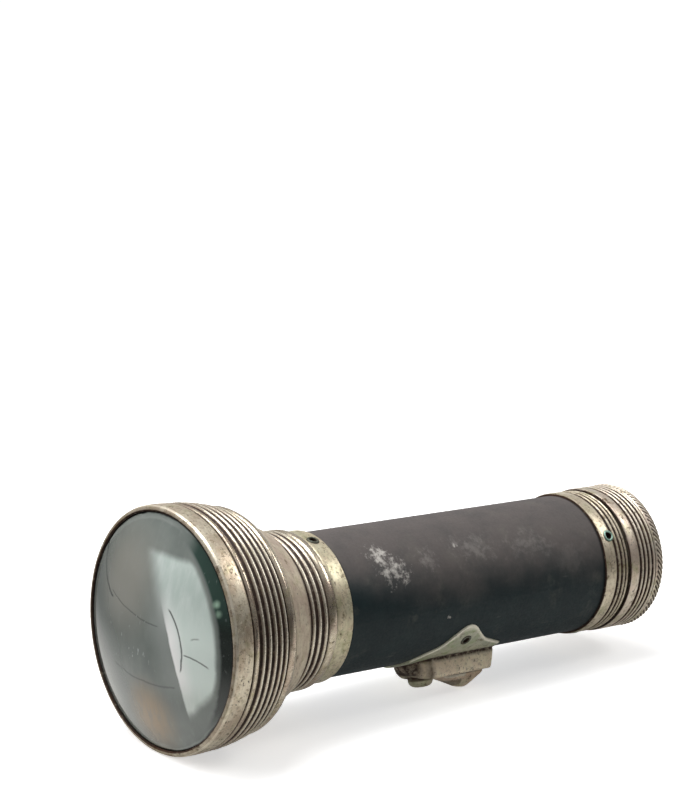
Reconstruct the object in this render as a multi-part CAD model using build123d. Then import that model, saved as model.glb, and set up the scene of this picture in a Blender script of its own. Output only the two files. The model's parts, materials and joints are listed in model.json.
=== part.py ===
from build123d import *

import math
import os

# A two-cell hand torch of about 1915-1925: vulcanised-fibre barrel, nickel-plated brass
# fittings, a bull's-eye lens in a large ribbed head, a saddle switch and a screw-on end cap.
#
# Every round piece is drawn standing on its tail, with its axis on +Z. A "station" is the
# distance in mm behind the plane of the lens rim. The last step lays the whole torch down, so
# that the lens looks along -Y and the origin is the centre of the end cap's rear face.

# Driving dimensions, mm
LENGTH = 160.0               # lens rim plane to end cap's rear face
BARREL_R = 19.25             # outside of the fibre barrel
BARREL_BORE_R = 17.4
SHEET = 0.55                 # rolled brass sheet of the head and the end cap
FERRULE_R = 19.95            # outside of both ferrule bands
RUN = 0.35                   # clearance between a rolled thread and its mate
CELL_LENGTH = 60.0           # dry cell over its brass cap
CELL_R = 16.3
SWITCH_ANGLE = -74.0         # switch, measured about the torch's axis, -90 is straight down

# Stations of the joins between the outer pieces
BEZEL_BACK = 5.7
HEAD_NECK_BACK = 40.3
FRONT_FERRULE_BACK = 46.2
REAR_FERRULE_FRONT = 137.3
CAP_FRONT = 146.5

# Bezel, lens and reflector
BEZEL_R = 31.6
BEZEL_BORE_R = 30.9
LIP_R = 30.05
LIP_DEPTH = 0.55
LENS_R = 30.65
LENS_EDGE = 2.1
LENS_BULGE = 6.6             # crown of the lens in front of the rim plane
GASKET = 0.4
FLANGE = 0.3
MOUTH_R = 28.6
VERTEX = 25.0                # station of the reflector's vertex
REFLECTOR_SHEET = 0.4
SEAT_R = 30.4                # outside of the gasket and of the reflector's flange
COLLAR_BACK = 6.0            # the head's ribbed skin starts here, behind the bezel
SOCKET_R = 6.0
SOCKET_FRONT = 23.5
SOCKET_BACK = 31.4
SOCKET_NECK_BACK = 27.2      # back of the reflector's neck, which holds the socket

# Lamp
GLOBE_R = 5.7
GLOBE = 16.6                 # station of the globe's centre
GLOBE_WALL = 0.35
STEM_R = 3.4
FILAMENT = 15.6
LEAD_OFFSET = 1.5            # each lead wire's distance from the axis
LEAD_R = 0.18
LEAD_BACK = 25.0
BEAD = 21.6
LAMP_BASE_FRONT = 21.2
LAMP_BASE_BACK = 28.6
LAMP_BASE_R = 4.7
SOLDER_FRONT = 29.6
LAMP_TIP = 30.2

# Contact disc between the lamp and the front cell
DISC_FRONT = 32.3
DISC_BACK = 33.3
DISC_R = 15.8
RIVET_FRONT = 31.9
RIVET_R = 1.27
FRONT_CELL_TIP = 33.7        # also the rear face of the contact disc's rivet

# Barrel tube, and the thinned end that goes into the rear ferrule
TUBE_FRONT = 41.6
TUBE_STEP = 141.0
TUBE_BACK = 145.6
TUBE_STEP_R = 18.9

# Switch, drawn on the +X side before it is turned to SWITCH_ANGLE
PLATE = 0.6
EAR = 88.6                   # station of the plate's two ears
HOUSING_TOP = 24.4           # outer face of the housing, measured from the torch's axis
HOUSING_HALF_WIDTH = 6.2
HOUSING_SHEET = 0.5
HOUSING_FRONT = 74.8
HOUSING_BACK = 103.7
HOUSING_LOW = 16.0           # the housing is drawn down to here, then cut to fit the plate
TOE_LENGTH = 8.3             # rounded toe at the housing's front
TOE_LOW = 19.9               # height of the toe's point
SLOT_FRONT = 86.5
SLOT_BACK = 101.2
BUTTON = 82.1                # station of the push button's centre
BUTTON_R = 3.4
BUTTON_TOP = 26.5
BUTTON_LOW = 21.95           # under side of the button's flange
BUTTON_FLANGE = 0.55
PIN_LOW = 18.62
PIN_R = 1.2
PIN_HOLE_R = 1.5
SLIDER_FRONT = 87.6
SLIDER_BACK = 101.4
SLIDER_PEAK = 28.5
SLIDER_HALF_WIDTH = 4.2
STEM_FRONT = 89.4            # the slider's stem through the slot, and the contact below it
STEM_BACK = 100.6
SHOE_LOW = 20.9
SHOE_TOP = 22.6
WINDOW_FRONT = 84.4          # opening through the plate and the barrel for the contact
WINDOW_BACK = 102.2
WINDOW_HALF_WIDTH = 3.0

# Contact strips inside the barrel
STRIP = 0.35
STRIP_HALF_WIDTH = 2.4
FRONT_STRIP = (42.0, 90.9)
REAR_STRIP = (94.6, 144.0)
EYELET_R = 1.27
EYELET_BORE_R = 0.85
EYELET_FLANGE_R = 1.8
EYELET_FLANGE = 0.35
HOLE_R = EYELET_R + 0.03

# Stations and angles of the eyelets: one in sight, one in line with the switch
FRONT_EYELET = 43.6
REAR_EYELET = 140.2
FRONT_EYELET_ANGLES = (75.5, SWITCH_ANGLE)
REAR_EYELET_ANGLES = (35.5, SWITCH_ANGLE)
EAR_ANGLE = 41.0             # eyelets of the switch plate, either side of its middle

# Radii between which a hole through the barrel's wall is cut
CUT_LOW = 10.0
CUT_HIGH = 24.0

parts = {}


def turned(outline):
    """Turn a closed outline of (station, radius) points about the torch's axis."""
    points = [(radius, LENGTH - station) for station, radius in outline]
    return revolve(make_face(Plane.XZ * Polyline(*points, close=True)), Axis.Z)


def ring(front, back, inner, outer):
    """Plain ring or disc between two stations."""
    return turned([(front, inner), (front, outer), (back, outer), (back, inner)])


def grooved(first, pitch, count, crest, depth, steps=8):
    """Outline of a rolled rib train: narrow round grooves between wide round crests."""
    points = []
    for i in range(count * steps + 1):
        phase = i / steps - 0.5
        station = first + phase * pitch
        dip = depth * (0.5 + 0.5 * math.cos(2 * math.pi * phase)) ** 2
        points.append((station, crest(station) - dip))
    return points


def inward(outline, wall):
    """The same outline one wall nearer the axis, walked the other way."""
    return [(station, radius - wall) for station, radius in reversed(outline)]


def radial_rod(station, angle, inner, outer, radius, bore=0.0):
    """Round rod or tube whose axis points straight out from the torch's axis."""
    rod = Cylinder(radius, outer - inner, align=(Align.CENTER, Align.CENTER, Align.MIN))
    if bore:
        rod -= Cylinder(bore, outer - inner, align=(Align.CENTER, Align.CENTER, Align.MIN))
    standing = Pos(inner, 0, LENGTH - station) * Rot(0, 90, 0) * rod
    return Rot(0, 0, angle) * standing


def block(front, back, half_width, low, high):
    """Box on the +X side, between two stations and two heights above the torch's axis."""
    size = (high - low, 2 * half_width, back - front)
    place = Pos((low + high) / 2, 0, LENGTH - (front + back) / 2)
    return place * Box(*size)


def side_plate(outline, half_width):
    """Solid from a side outline of (station, height) points, evenly wide about the middle."""
    points = [(height, LENGTH - station) for station, height in outline]
    face = make_face(Plane.XZ * Polyline(*points, close=True))
    return extrude(face, half_width, both=True)


def coil(front, back, front_r, back_r, turns, wire):
    """Conical coil spring between two stations, wire radius given, ends on its end planes."""
    height = back - front - 2 * wire
    cone = math.degrees(math.atan2(front_r - back_r, height))
    path = Helix(height / turns, height, back_r, cone_angle=cone)
    start = path @ 0
    section = Plane(origin=start, z_dir=path % 0) * Circle(wire)
    return Pos(0, 0, LENGTH - back + wire) * sweep(section, path)


# ---------------------------------------------------------------- head

def head_crest(station):
    """Crown of the ribbed part of the head: a shallow dome."""
    return BEZEL_R - 0.1 - 2.1 * ((station - COLLAR_BACK) / 12.4) ** 2


def neck_crest(station):
    """Crown of the ribbed neck: it flares a little towards the cone."""
    return 20.95 + 0.75 * ((39.0 - station) / 8.0) ** 2


def head_shell():
    """Ribbed dome, plain bead, cone and ribbed neck, with a collar inside the bezel."""
    ribs = grooved(8.1, 2.03, 6, head_crest, 0.85)
    bead = [(19.9, 29.15), (20.9, 28.7), (21.6, 27.9), (21.9, 27.0)]
    cone = [(22.6, 26.4), (24.0, 25.6), (26.0, 24.6), (28.0, 23.6), (29.4, 22.7)]
    neck = grooved(31.4, 2.15, 4, neck_crest, 0.7)
    skirt = [(HEAD_NECK_BACK - 0.3, 20.95), (HEAD_NECK_BACK, 20.6)]
    collar_front = LIP_DEPTH + LENS_EDGE + GASKET + FLANGE
    collar_r = BEZEL_BORE_R - RUN
    skin = ribs + bead + cone + neck + skirt
    front = [(collar_front, collar_r - SHEET), (collar_front, collar_r),
             (COLLAR_BACK, collar_r), (COLLAR_BACK, head_crest(COLLAR_BACK) - 0.3),
             (COLLAR_BACK + 0.3, head_crest(COLLAR_BACK + 0.3))]
    step = COLLAR_BACK + SHEET
    lining = inward([point for point in skin if point[0] > step + 0.65], SHEET)
    throat = [(step + 0.45, head_crest(step + 0.45) - SHEET),
              (step, head_crest(step) - SHEET - 0.3), (step, collar_r - SHEET)]
    return turned(front + skin + lining + throat)


def bezel_ring():
    """Plain band over the head's collar, with a small lip over the lens."""
    skin = [(0.25, 31.15), (0.8, BEZEL_R), (BEZEL_BACK - 0.35, BEZEL_R), (BEZEL_BACK, 31.4)]
    return turned([(LIP_DEPTH, LIP_R), (0.1, LIP_R + 0.15), (0.0, LIP_R + 0.5)] + skin
                  + [(BEZEL_BACK, BEZEL_BORE_R), (LIP_DEPTH, BEZEL_BORE_R)])


def lens():
    """Plano-convex bull's-eye: a ball cap over a flat disc."""
    cap_r = LIP_R - 0.25
    rise = LENS_BULGE + LIP_DEPTH
    ball_r = (cap_r ** 2 + rise ** 2) / (2 * rise)
    middle = -LENS_BULGE + ball_r
    half_angle = math.asin(cap_r / ball_r)
    steps = 24
    crown = []
    for i in range(steps + 1):
        angle = half_angle * i / steps
        crown.append((middle - ball_r * math.cos(angle), ball_r * math.sin(angle)))
    back = LIP_DEPTH + LENS_EDGE
    return turned(crown + [(LIP_DEPTH, LENS_R), (back, LENS_R), (back, 0)])


def reflector():
    """Paraboloid of revolution with a flange at its mouth and a short neck for the socket."""
    seat = LIP_DEPTH + LENS_EDGE + GASKET
    mouth = seat + FLANGE
    hole = SOCKET_R + 0.03
    steps = 20
    bowl = []
    back = []
    for i in range(steps + 1):
        radius = MOUTH_R + (hole - MOUTH_R) * i / steps
        station = seat + (VERTEX - mouth) * (1 - (radius / MOUTH_R) ** 2)
        bowl.append((station, radius))
        back.append((station + REFLECTOR_SHEET * 1.4, radius + REFLECTOR_SHEET * 0.6))
    flange = [(mouth, back[0][1]), (mouth, SEAT_R), (seat, SEAT_R)]
    neck = [(SOCKET_NECK_BACK, hole), (SOCKET_NECK_BACK, hole + REFLECTOR_SHEET)]
    back = [point for point in back if mouth < point[0] < VERTEX - 0.6]
    return turned(bowl + neck + list(reversed(back)) + flange)


parts["bezel_ring"] = bezel_ring()
parts["lens"] = lens()
parts["lens_gasket"] = ring(LIP_DEPTH + LENS_EDGE, LIP_DEPTH + LENS_EDGE + GASKET,
                            MOUTH_R, SEAT_R)
parts["head_shell"] = head_shell()
parts["reflector"] = reflector()


# ---------------------------------------------------------------- lamp and its socket

def lamp_socket():
    """Brass sleeve in the reflector's neck, with a turned-in rim behind the insulator."""
    bore = LAMP_BASE_R + RUN
    wall = ring(SOCKET_FRONT, SOCKET_BACK, bore, SOCKET_R)
    return wall + ring(SOCKET_BACK - 0.3, SOCKET_BACK, 3.5, bore + 0.1)


def lamp_globe():
    """Blown glass envelope: a ball running into a short stem in the base."""
    steps = 20
    inner = GLOBE_R - GLOBE_WALL
    skin = []
    lining = []
    for i in range(steps + 1):
        angle = math.radians(143) * i / steps
        skin.append((GLOBE - GLOBE_R * math.cos(angle), GLOBE_R * math.sin(angle)))
        lining.append((GLOBE - inner * math.cos(angle), inner * math.sin(angle)))
    stem = [(SOCKET_FRONT, STEM_R), (SOCKET_FRONT, STEM_R - GLOBE_WALL)]
    return turned(skin + stem + list(reversed(lining)))


def lamp_base():
    """Screw base of thin brass: a rolled thread below a plain mouth."""
    thread = grooved(24.0, 1.8, 2, lambda station: LAMP_BASE_R, 0.3)
    skin = [(LAMP_BASE_FRONT, LAMP_BASE_R - 0.25)] + thread
    skin += [(LAMP_BASE_BACK - 0.6, LAMP_BASE_R), (LAMP_BASE_BACK, LAMP_BASE_R - 0.6)]
    return turned(skin + inward(skin, 0.3))


def lamp_filament():
    """Short straight coil of fine wire across the top of the two lead wires."""
    wire = Box(0.14, 2 * LEAD_OFFSET + 0.6, 0.14)
    return Pos(0, 0, LENGTH - FILAMENT) * (wire + Box(0.3, 2 * LEAD_OFFSET - 0.6, 0.3))


def lamp_leads():
    """Two lead wires from the base, joined low down by a glass bead."""
    front = FILAMENT + 0.08
    middle = LENGTH - (front + LEAD_BACK) / 2
    return Compound(children=[Pos(0, side * LEAD_OFFSET, middle)
                              * Cylinder(LEAD_R, LEAD_BACK - front) for side in (-1, 1)])


def lamp_bead():
    """Glass bead that holds the two lead wires apart."""
    place = LENGTH - BEAD
    bead = Pos(0, 0, place) * Box(1.6, 2 * LEAD_OFFSET + 1.2, 1.8)
    bead = fillet(bead.edges(), 0.6)
    for side in (-1, 1):
        bead -= Pos(0, side * LEAD_OFFSET, place) * Cylinder(LEAD_R + 0.02, 4.0)
    return bead


parts["lamp_socket"] = lamp_socket()
parts["socket_insulator"] = ring(SOCKET_BACK - 1.1, SOCKET_BACK - 0.3, 2.45,
                                 LAMP_BASE_R + RUN - 0.05)
parts["lamp_globe"] = lamp_globe()
parts["lamp_base"] = lamp_base()
parts["lamp_base_insulator"] = turned([
    (28.0, 0), (28.0, 3.7), (LAMP_BASE_BACK, 3.7), (SOLDER_FRONT, 1.9), (SOLDER_FRONT, 0)])
parts["lamp_tip"] = turned([
    (SOLDER_FRONT, 0), (SOLDER_FRONT, 1.5), (LAMP_TIP - 0.2, 1.3), (LAMP_TIP, 0.7),
    (LAMP_TIP, 0)])
parts["lamp_filament"] = lamp_filament()
parts["lamp_lead_wires"] = lamp_leads()
parts["lamp_bead"] = lamp_bead()
parts["lamp_contact_cup"] = turned([
    (LAMP_TIP, 0), (LAMP_TIP, 0.75), (RIVET_FRONT - 0.25, 2.05), (RIVET_FRONT, 2.05),
    (RIVET_FRONT, 1.7), (RIVET_FRONT - 0.3, 1.7), (LAMP_TIP + 0.3, 0.55), (LAMP_TIP + 0.3, 0)])
parts["contact_disc"] = ring(DISC_FRONT, DISC_BACK, RIVET_R + 0.03, DISC_R)
parts["contact_disc_rivet"] = turned([
    (RIVET_FRONT, 0), (RIVET_FRONT, 2.1), (DISC_FRONT, 2.4), (DISC_FRONT, RIVET_R),
    (DISC_BACK, RIVET_R), (DISC_BACK, 2.0), (FRONT_CELL_TIP, 1.7), (FRONT_CELL_TIP, 0)])


# ---------------------------------------------------------------- barrel and ferrules

def on_switch_side(shape):
    return Rot(0, 0, SWITCH_ANGLE) * shape


def front_ferrule():
    """Band over the barrel's front end, stepping in to the threaded spigot of the head."""
    spigot = grooved(33.4, 2.1, 3, lambda station: 18.95, 0.35)
    skin = [(31.6, 18.6)] + spigot + [(40.2, 18.95), (41.0, 18.95), (41.0, FERRULE_R - 0.2),
            (41.2, FERRULE_R), (45.4, FERRULE_R), (45.7, FERRULE_R + 0.15),
            (FRONT_FERRULE_BACK, FERRULE_R)]
    lining = [(FRONT_FERRULE_BACK, BARREL_R), (TUBE_FRONT, BARREL_R), (TUBE_FRONT, 18.2),
              (31.6, 18.2)]
    return turned(skin + lining)


def rear_ferrule():
    """Band, three rolled thread ribs in sight, then the spigot inside the end cap."""
    thread = grooved(141.75, 1.7, 3, lambda station: FERRULE_R, 0.5)
    spigot = grooved(148.6, 1.7, 3, lambda station: 18.85, 0.35)
    skin = [(REAR_FERRULE_FRONT, FERRULE_R)] + thread + [(146.1, FERRULE_R - 0.1),
            (146.2, 18.85)] + spigot + [(153.6, 18.6)]
    lining = [(153.6, 18.05), (TUBE_BACK, 18.05), (TUBE_BACK, TUBE_STEP_R),
              (TUBE_STEP, TUBE_STEP_R), (TUBE_STEP, BARREL_R), (REAR_FERRULE_FRONT, BARREL_R)]
    return turned(skin + lining)


def barrel_tube():
    """Rolled fibre tube, turned down a little where the rear ferrule is pressed over it."""
    return turned([(TUBE_FRONT, BARREL_BORE_R), (TUBE_FRONT, BARREL_R), (TUBE_STEP, BARREL_R),
                   (TUBE_STEP, TUBE_STEP_R), (TUBE_BACK, TUBE_STEP_R),
                   (TUBE_BACK, BARREL_BORE_R)])


def eyelet(station, angle, surface, lining):
    """Hollow rivet with a flange at each end, clamping everything between the two radii."""
    lining = math.sqrt(lining ** 2 - EYELET_FLANGE_R ** 2) - 0.02
    low = lining - EYELET_FLANGE
    high = surface + EYELET_FLANGE
    body = radial_rod(station, angle, low, high, EYELET_R)
    body += radial_rod(station, angle, surface, high, EYELET_FLANGE_R)
    body += radial_rod(station, angle, low, lining, EYELET_FLANGE_R)
    return body - radial_rod(station, angle, low - 1, high + 1, EYELET_BORE_R)


def strip(front, back):
    """Flat brass strip lying against the barrel's bore, in line with the switch."""
    shell = ring(front, back, BARREL_BORE_R - STRIP, BARREL_BORE_R)
    return shell & block(front, back, STRIP_HALF_WIDTH, 0, BARREL_R)


def eyelet_hole(station, angle):
    return radial_rod(station, angle, CUT_LOW, CUT_HIGH, HOLE_R)


def window():
    """Slot through the plate and the barrel for the sliding contact."""
    return block(WINDOW_FRONT, WINDOW_BACK, WINDOW_HALF_WIDTH, CUT_LOW, CUT_HIGH)


ear_angles = (SWITCH_ANGLE - EAR_ANGLE, SWITCH_ANGLE + EAR_ANGLE)

tube = barrel_tube() - on_switch_side(window())
tube -= radial_rod(BUTTON, SWITCH_ANGLE, CUT_LOW, CUT_HIGH, PIN_HOLE_R)
front_band = front_ferrule()
rear_band = rear_ferrule()
for angle in FRONT_EYELET_ANGLES:
    tube -= eyelet_hole(FRONT_EYELET, angle)
    front_band -= eyelet_hole(FRONT_EYELET, angle)
for angle in REAR_EYELET_ANGLES:
    tube -= eyelet_hole(REAR_EYELET, angle)
    rear_band -= eyelet_hole(REAR_EYELET, angle)
for angle in ear_angles:
    tube -= eyelet_hole(EAR, angle)

strip_face = BARREL_BORE_R - STRIP
parts["barrel_tube"] = tube
parts["front_ferrule"] = front_band
parts["rear_ferrule"] = rear_band
parts["front_ferrule_eyelets"] = Compound(children=[
    eyelet(FRONT_EYELET, FRONT_EYELET_ANGLES[0], FERRULE_R, BARREL_BORE_R),
    eyelet(FRONT_EYELET, FRONT_EYELET_ANGLES[1], FERRULE_R, strip_face)])
parts["rear_ferrule_eyelets"] = Compound(children=[
    eyelet(REAR_EYELET, REAR_EYELET_ANGLES[0], FERRULE_R, BARREL_BORE_R),
    eyelet(REAR_EYELET, REAR_EYELET_ANGLES[1], FERRULE_R, strip_face)])
parts["front_contact_strip"] = (on_switch_side(strip(*FRONT_STRIP))
                                - eyelet_hole(FRONT_EYELET, SWITCH_ANGLE))
parts["rear_contact_strip"] = (on_switch_side(strip(*REAR_STRIP))
                               - eyelet_hole(REAR_EYELET, SWITCH_ANGLE))


# ---------------------------------------------------------------- switch

PLATE_R = BARREL_R + PLATE


def switch_plate():
    """Saddle plate: an arch at the front, a bell-shaped ear each side, square at the back.

    The outline is given as (station, arc length from the plate's middle line).
    """
    half = [(71.4, 0.0), (72.3, 3.6), (74.3, 7.6), (77.0, 10.4), (80.6, 12.9), (83.3, 16.0),
            (86.2, 18.5), (88.6, 19.3), (91.0, 18.4), (93.2, 16.2), (96.4, 13.3), (100.0, 11.4),
            (104.3, 9.2)]
    sides = []
    for side in (-1, 1):
        points = [(side * PLATE_R * math.sin(arc / PLATE_R), LENGTH - station)
                  for station, arc in half]
        sides.append(Spline(*points))
    back = Line(sides[0] @ 1, sides[1] @ 1)
    prism = extrude(make_face(Plane.YZ * (Curve() + sides + back)), 30, dir=(1, 0, 0))
    plate = ring(60, 120, BARREL_R, PLATE_R) & prism
    for side in (-1, 1):
        plate -= eyelet_hole(EAR, side * EAR_ANGLE)
    return plate - window() - radial_rod(BUTTON, 0, CUT_LOW, CUT_HIGH, PIN_HOLE_R)


def across(station, half_section):
    """Face square to the torch's axis, from (height, half width) points of one side."""
    other_side = [(height, -half) for height, half in reversed(half_section)]
    return Pos(0, 0, LENGTH - station) * make_face(Polyline(*half_section, *other_side, close=True))


def along_axis(half_section):
    """Bar along the torch's axis with the section of across()."""
    return extrude(across(LENGTH, half_section), LENGTH, dir=(0, 0, 1))


def arch_section(half, top, corner_width, corner_height):
    """(height, half width) points of a flat-sided arch whose corners are quarter ellipses."""
    points = [(HOUSING_LOW, half)]
    for degrees in (0, 30, 60, 90):
        angle = math.radians(degrees)
        points.append((top - corner_height * (1 - math.sin(angle)),
                       half - corner_width * (1 - math.cos(angle))))
    return points


def tray(inset):
    """Solid outer form of the housing, or its hollow when drawn one sheet smaller.

    Its front is a rounded toe that gets narrower, lower and rounder towards the point.
    """
    front = HOUSING_FRONT + inset * 1.3
    back = HOUSING_BACK - inset
    top = HOUSING_TOP - inset
    half = HOUSING_HALF_WIDTH - inset
    sections = []
    for share in (0.01, 0.06, 0.16, 0.32, 0.55, 0.8, 1.0):
        left = 1 - share
        wide = half * math.sqrt(1 - left ** 2)
        high = TOE_LOW + (top - TOE_LOW) * (1 - left ** 2.6)
        corner = min(1.0 + 1.6 * left, 0.8 * wide)
        sections.append(across(front + share * TOE_LENGTH,
                               arch_section(wide, high, corner, 1.0 + 0.8 * left)))
    sections.append(across(back - 1.2, arch_section(half, top, 1.0, 1.0)))
    sections.append(across(back, arch_section(half, 20.8, 1.0, 1.0)))
    return loft(sections, ruled=True)


def switch_housing():
    """Pressed cover: a rounded, sloping front, a round hole for the button and a slot."""
    shell = tray(0) - tray(HOUSING_SHEET)
    shell -= ring(60, 120, 0, PLATE_R)
    cut = (BUTTON_LOW, HOUSING_TOP + 1)
    shell -= block(SLOT_FRONT, SLOT_BACK, 2.2, *cut)
    return shell - radial_rod(BUTTON, 0, *cut, BUTTON_R + 0.1)


def switch_slider():
    """Thumb piece: a rounded fin on a long foot, with a stem through the housing's slot."""
    foot = HOUSING_TOP + 0.06
    fin = [(SLIDER_FRONT, foot), (SLIDER_FRONT, 25.0), (89.2, 25.5), (91.8, 26.8),
           (94.0, 28.0), (95.6, SLIDER_PEAK), (97.0, 28.3), (98.5, 27.4), (100.0, 26.0),
           (SLIDER_BACK, 24.8), (SLIDER_BACK, foot)]
    half = SLIDER_HALF_WIDTH
    taper = along_axis([(foot, half), (25.1, half), (26.2, 3.4), (SLIDER_PEAK + 0.1, 1.5)])
    thumb = side_plate(fin, half) & taper
    return thumb + block(STEM_FRONT, STEM_BACK, 2.0, SHOE_TOP, foot + 0.2)


def slider_contact():
    """Springy leaf with two fingers that reach through the window to the contact strips."""
    tip = BARREL_BORE_R + 0.06
    low = SHOE_LOW - 0.3
    leaf = block(STEM_FRONT, STEM_BACK, STRIP_HALF_WIDTH, low, SHOE_LOW)
    for station, lean in ((STEM_FRONT, 1.6), (STEM_BACK, -1.6)):
        finger = [(station, SHOE_LOW), (station + lean, tip + 0.3), (station + lean * 1.3, tip),
                  (station + lean * 1.6, tip), (station + lean * 1.25, tip + 0.5),
                  (station + lean * 0.25, low)]
        leaf += side_plate(finger, 1.6)
    return leaf


def push_button():
    """Domed button with a flange under the housing and a pin to the front contact strip."""
    body = radial_rod(BUTTON, 0, BUTTON_LOW, BUTTON_TOP, BUTTON_R)
    body = fillet(body.edges().sort_by(Axis.X)[-1], 1.7)
    body += radial_rod(BUTTON, 0, BUTTON_LOW, BUTTON_LOW + BUTTON_FLANGE, BUTTON_R + 0.25)
    return body + radial_rod(BUTTON, 0, PIN_LOW, BUTTON_LOW + 0.1, PIN_R)


def button_spring():
    """Small coil round the button's pin, from the saddle plate to the button's flange."""
    wire = 0.2
    seat = PLATE_R + wire
    height = BUTTON_LOW - 0.05 - wire - seat
    path = Helix(height / 1.5, height, 2.1)
    section = Plane(origin=path @ 0, z_dir=path % 0) * Circle(wire)
    return Pos(seat, 0, LENGTH - BUTTON) * Rot(0, 90, 0) * sweep(section, path)


parts["switch_plate"] = on_switch_side(switch_plate())
parts["switch_housing"] = on_switch_side(switch_housing())
parts["switch_plate_eyelets"] = Compound(children=[
    eyelet(EAR, angle, PLATE_R, BARREL_BORE_R) for angle in ear_angles])
parts["switch_slider"] = on_switch_side(switch_slider())
parts["slider_shoe"] = on_switch_side(block(88.8, 101.2, 3.2, SHOE_LOW, SHOE_TOP))
parts["slider_contact"] = on_switch_side(slider_contact())
parts["push_button"] = on_switch_side(push_button())
parts["button_spring"] = on_switch_side(button_spring())


# ---------------------------------------------------------------- dry cells

def cell(name, tip):
    """One zinc-carbon cell, cap first, its pieces added under the cell's own name."""
    zinc_r = CELL_R - 0.4
    bore_r = zinc_r - 0.45
    mix_r = bore_r - 1.2
    end = tip + CELL_LENGTH
    parts[name + "_brass_cap"] = turned([(tip, 0), (tip, 4.6), (tip + 0.4, 5.0), (tip + 2.8, 5.0),
                                         (tip + 2.8, 4.5), (tip + 0.5, 4.5), (tip + 0.5, 0)])
    parts[name + "_carbon_rod"] = ring(tip + 0.5, tip + 54, 0, 4.0)
    parts[name + "_pitch_seal"] = ring(tip + 3.2, tip + 5.6, 4.0, bore_r)
    parts[name + "_zinc_can"] = turned([(tip + 2.8, bore_r), (tip + 2.8, zinc_r), (end, zinc_r),
                                        (end, 0), (end - 0.5, 0), (end - 0.5, bore_r)])
    parts[name + "_mix"] = turned([(tip + 8, 4.0), (tip + 8, mix_r), (end - 3.5, mix_r),
                                   (end - 3.5, 0), (tip + 54, 0), (tip + 54, 4.0)])
    parts[name + "_paste"] = turned([(tip + 6, mix_r), (tip + 6, bore_r), (end - 0.5, bore_r),
                                     (end - 0.5, 0), (end - 3.5, 0), (end - 3.5, mix_r)])
    parts[name + "_jacket"] = ring(tip + 2.2, end - 0.2, zinc_r, CELL_R)


cell("front_cell", FRONT_CELL_TIP)
cell("rear_cell", FRONT_CELL_TIP + CELL_LENGTH)


# ---------------------------------------------------------------- end cap

def end_cap():
    """Plain band, five rolled grooves, a milled bead and a flat rear face."""
    crest = 20.3
    ribs = grooved(150.5, 1.54, 5, lambda station: crest, 0.55)
    bead = [(157.6, crest + 0.1), (158.4, crest + 0.15), (159.2, crest - 0.1), (159.75, 19.5),
            (LENGTH, 18.4)]
    band = [(CAP_FRONT + 0.25, crest), (149.0, crest)]
    skin = [(CAP_FRONT, crest - 0.25)] + band + ribs + bead + [(LENGTH, 0)]
    back_plate = [(LENGTH - SHEET, 0), (LENGTH - SHEET, 18.2), (159.0, 19.2), (158.2, 19.7)]
    return turned(skin + back_plate + inward(band + ribs, SHEET) + [(CAP_FRONT, crest - SHEET)])


parts["end_cap"] = end_cap()
parts["end_cap_spring"] = coil(FRONT_CELL_TIP + 2 * CELL_LENGTH, LENGTH - SHEET, 7.0, 14.5,
                               3.0, 0.6)


# ---------------------------------------------------------------- lay down and write

os.makedirs("parts", exist_ok=True)
lay_down = Rot(90, 0, 0)
for name, shape in parts.items():
    solids = (lay_down * shape).solids()
    export_step(solids[0] if len(solids) == 1 else Compound(children=solids),
                os.path.join("parts", name + ".step"))
    print(name, len(solids))
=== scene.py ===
"""Looks of an antique fibre hand torch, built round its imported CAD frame.

Every round piece is given by (station, radius) points in mm. A station is the distance behind
the plane of the lens rim; the torch's axis is Y and the lens looks along -Y.
"""
import json
from math import asin, atan2, cos, exp, hypot, pi, radians, sin, sqrt, tan

import bpy
import bmesh
import numpy as np
from mathutils import Matrix, Vector, noise


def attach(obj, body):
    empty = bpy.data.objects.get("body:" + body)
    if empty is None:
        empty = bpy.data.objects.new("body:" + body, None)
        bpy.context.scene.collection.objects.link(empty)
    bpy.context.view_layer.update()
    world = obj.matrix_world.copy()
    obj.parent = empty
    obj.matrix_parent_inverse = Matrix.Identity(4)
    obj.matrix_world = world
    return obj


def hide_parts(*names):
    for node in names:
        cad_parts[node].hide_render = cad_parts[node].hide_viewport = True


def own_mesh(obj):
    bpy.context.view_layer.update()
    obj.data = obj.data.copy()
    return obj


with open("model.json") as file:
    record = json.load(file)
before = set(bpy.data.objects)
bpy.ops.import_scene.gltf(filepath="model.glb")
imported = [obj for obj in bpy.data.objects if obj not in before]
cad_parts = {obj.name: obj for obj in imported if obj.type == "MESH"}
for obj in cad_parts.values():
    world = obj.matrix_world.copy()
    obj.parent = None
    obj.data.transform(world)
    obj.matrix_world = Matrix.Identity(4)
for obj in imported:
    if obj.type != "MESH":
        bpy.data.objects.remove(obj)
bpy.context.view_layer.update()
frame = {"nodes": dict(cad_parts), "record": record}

MM = 0.001
LENGTH = 160.0
BARREL_R = 19.25
PLATE_R = 19.85
SWITCH_ANGLE = -74.0
EYELET_HOLE_R = 1.3
FRONT_EYELETS = ((43.6, 75.5), (43.6, SWITCH_ANGLE))      # station and angle
REAR_EYELETS = ((140.2, 35.5), (140.2, SWITCH_ANGLE))
PLATE_EYELETS = ((88.6, SWITCH_ANGLE - 41.0), (88.6, SWITCH_ANGLE + 41.0))


# ---------------------------------------------------------------- mesh helpers

def depth_of(station):
    """Y in metres of a station."""
    return (station - LENGTH) * MM


def point(station, radius, degrees):
    """Place in metres of a point given by its station, radius and angle about the axis."""
    angle = radians(degrees)
    return radius * cos(angle) * MM, depth_of(station), radius * sin(angle) * MM


def link(name, data):
    obj = bpy.data.objects.new(name, data)
    bpy.context.scene.collection.objects.link(obj)
    return obj


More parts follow.
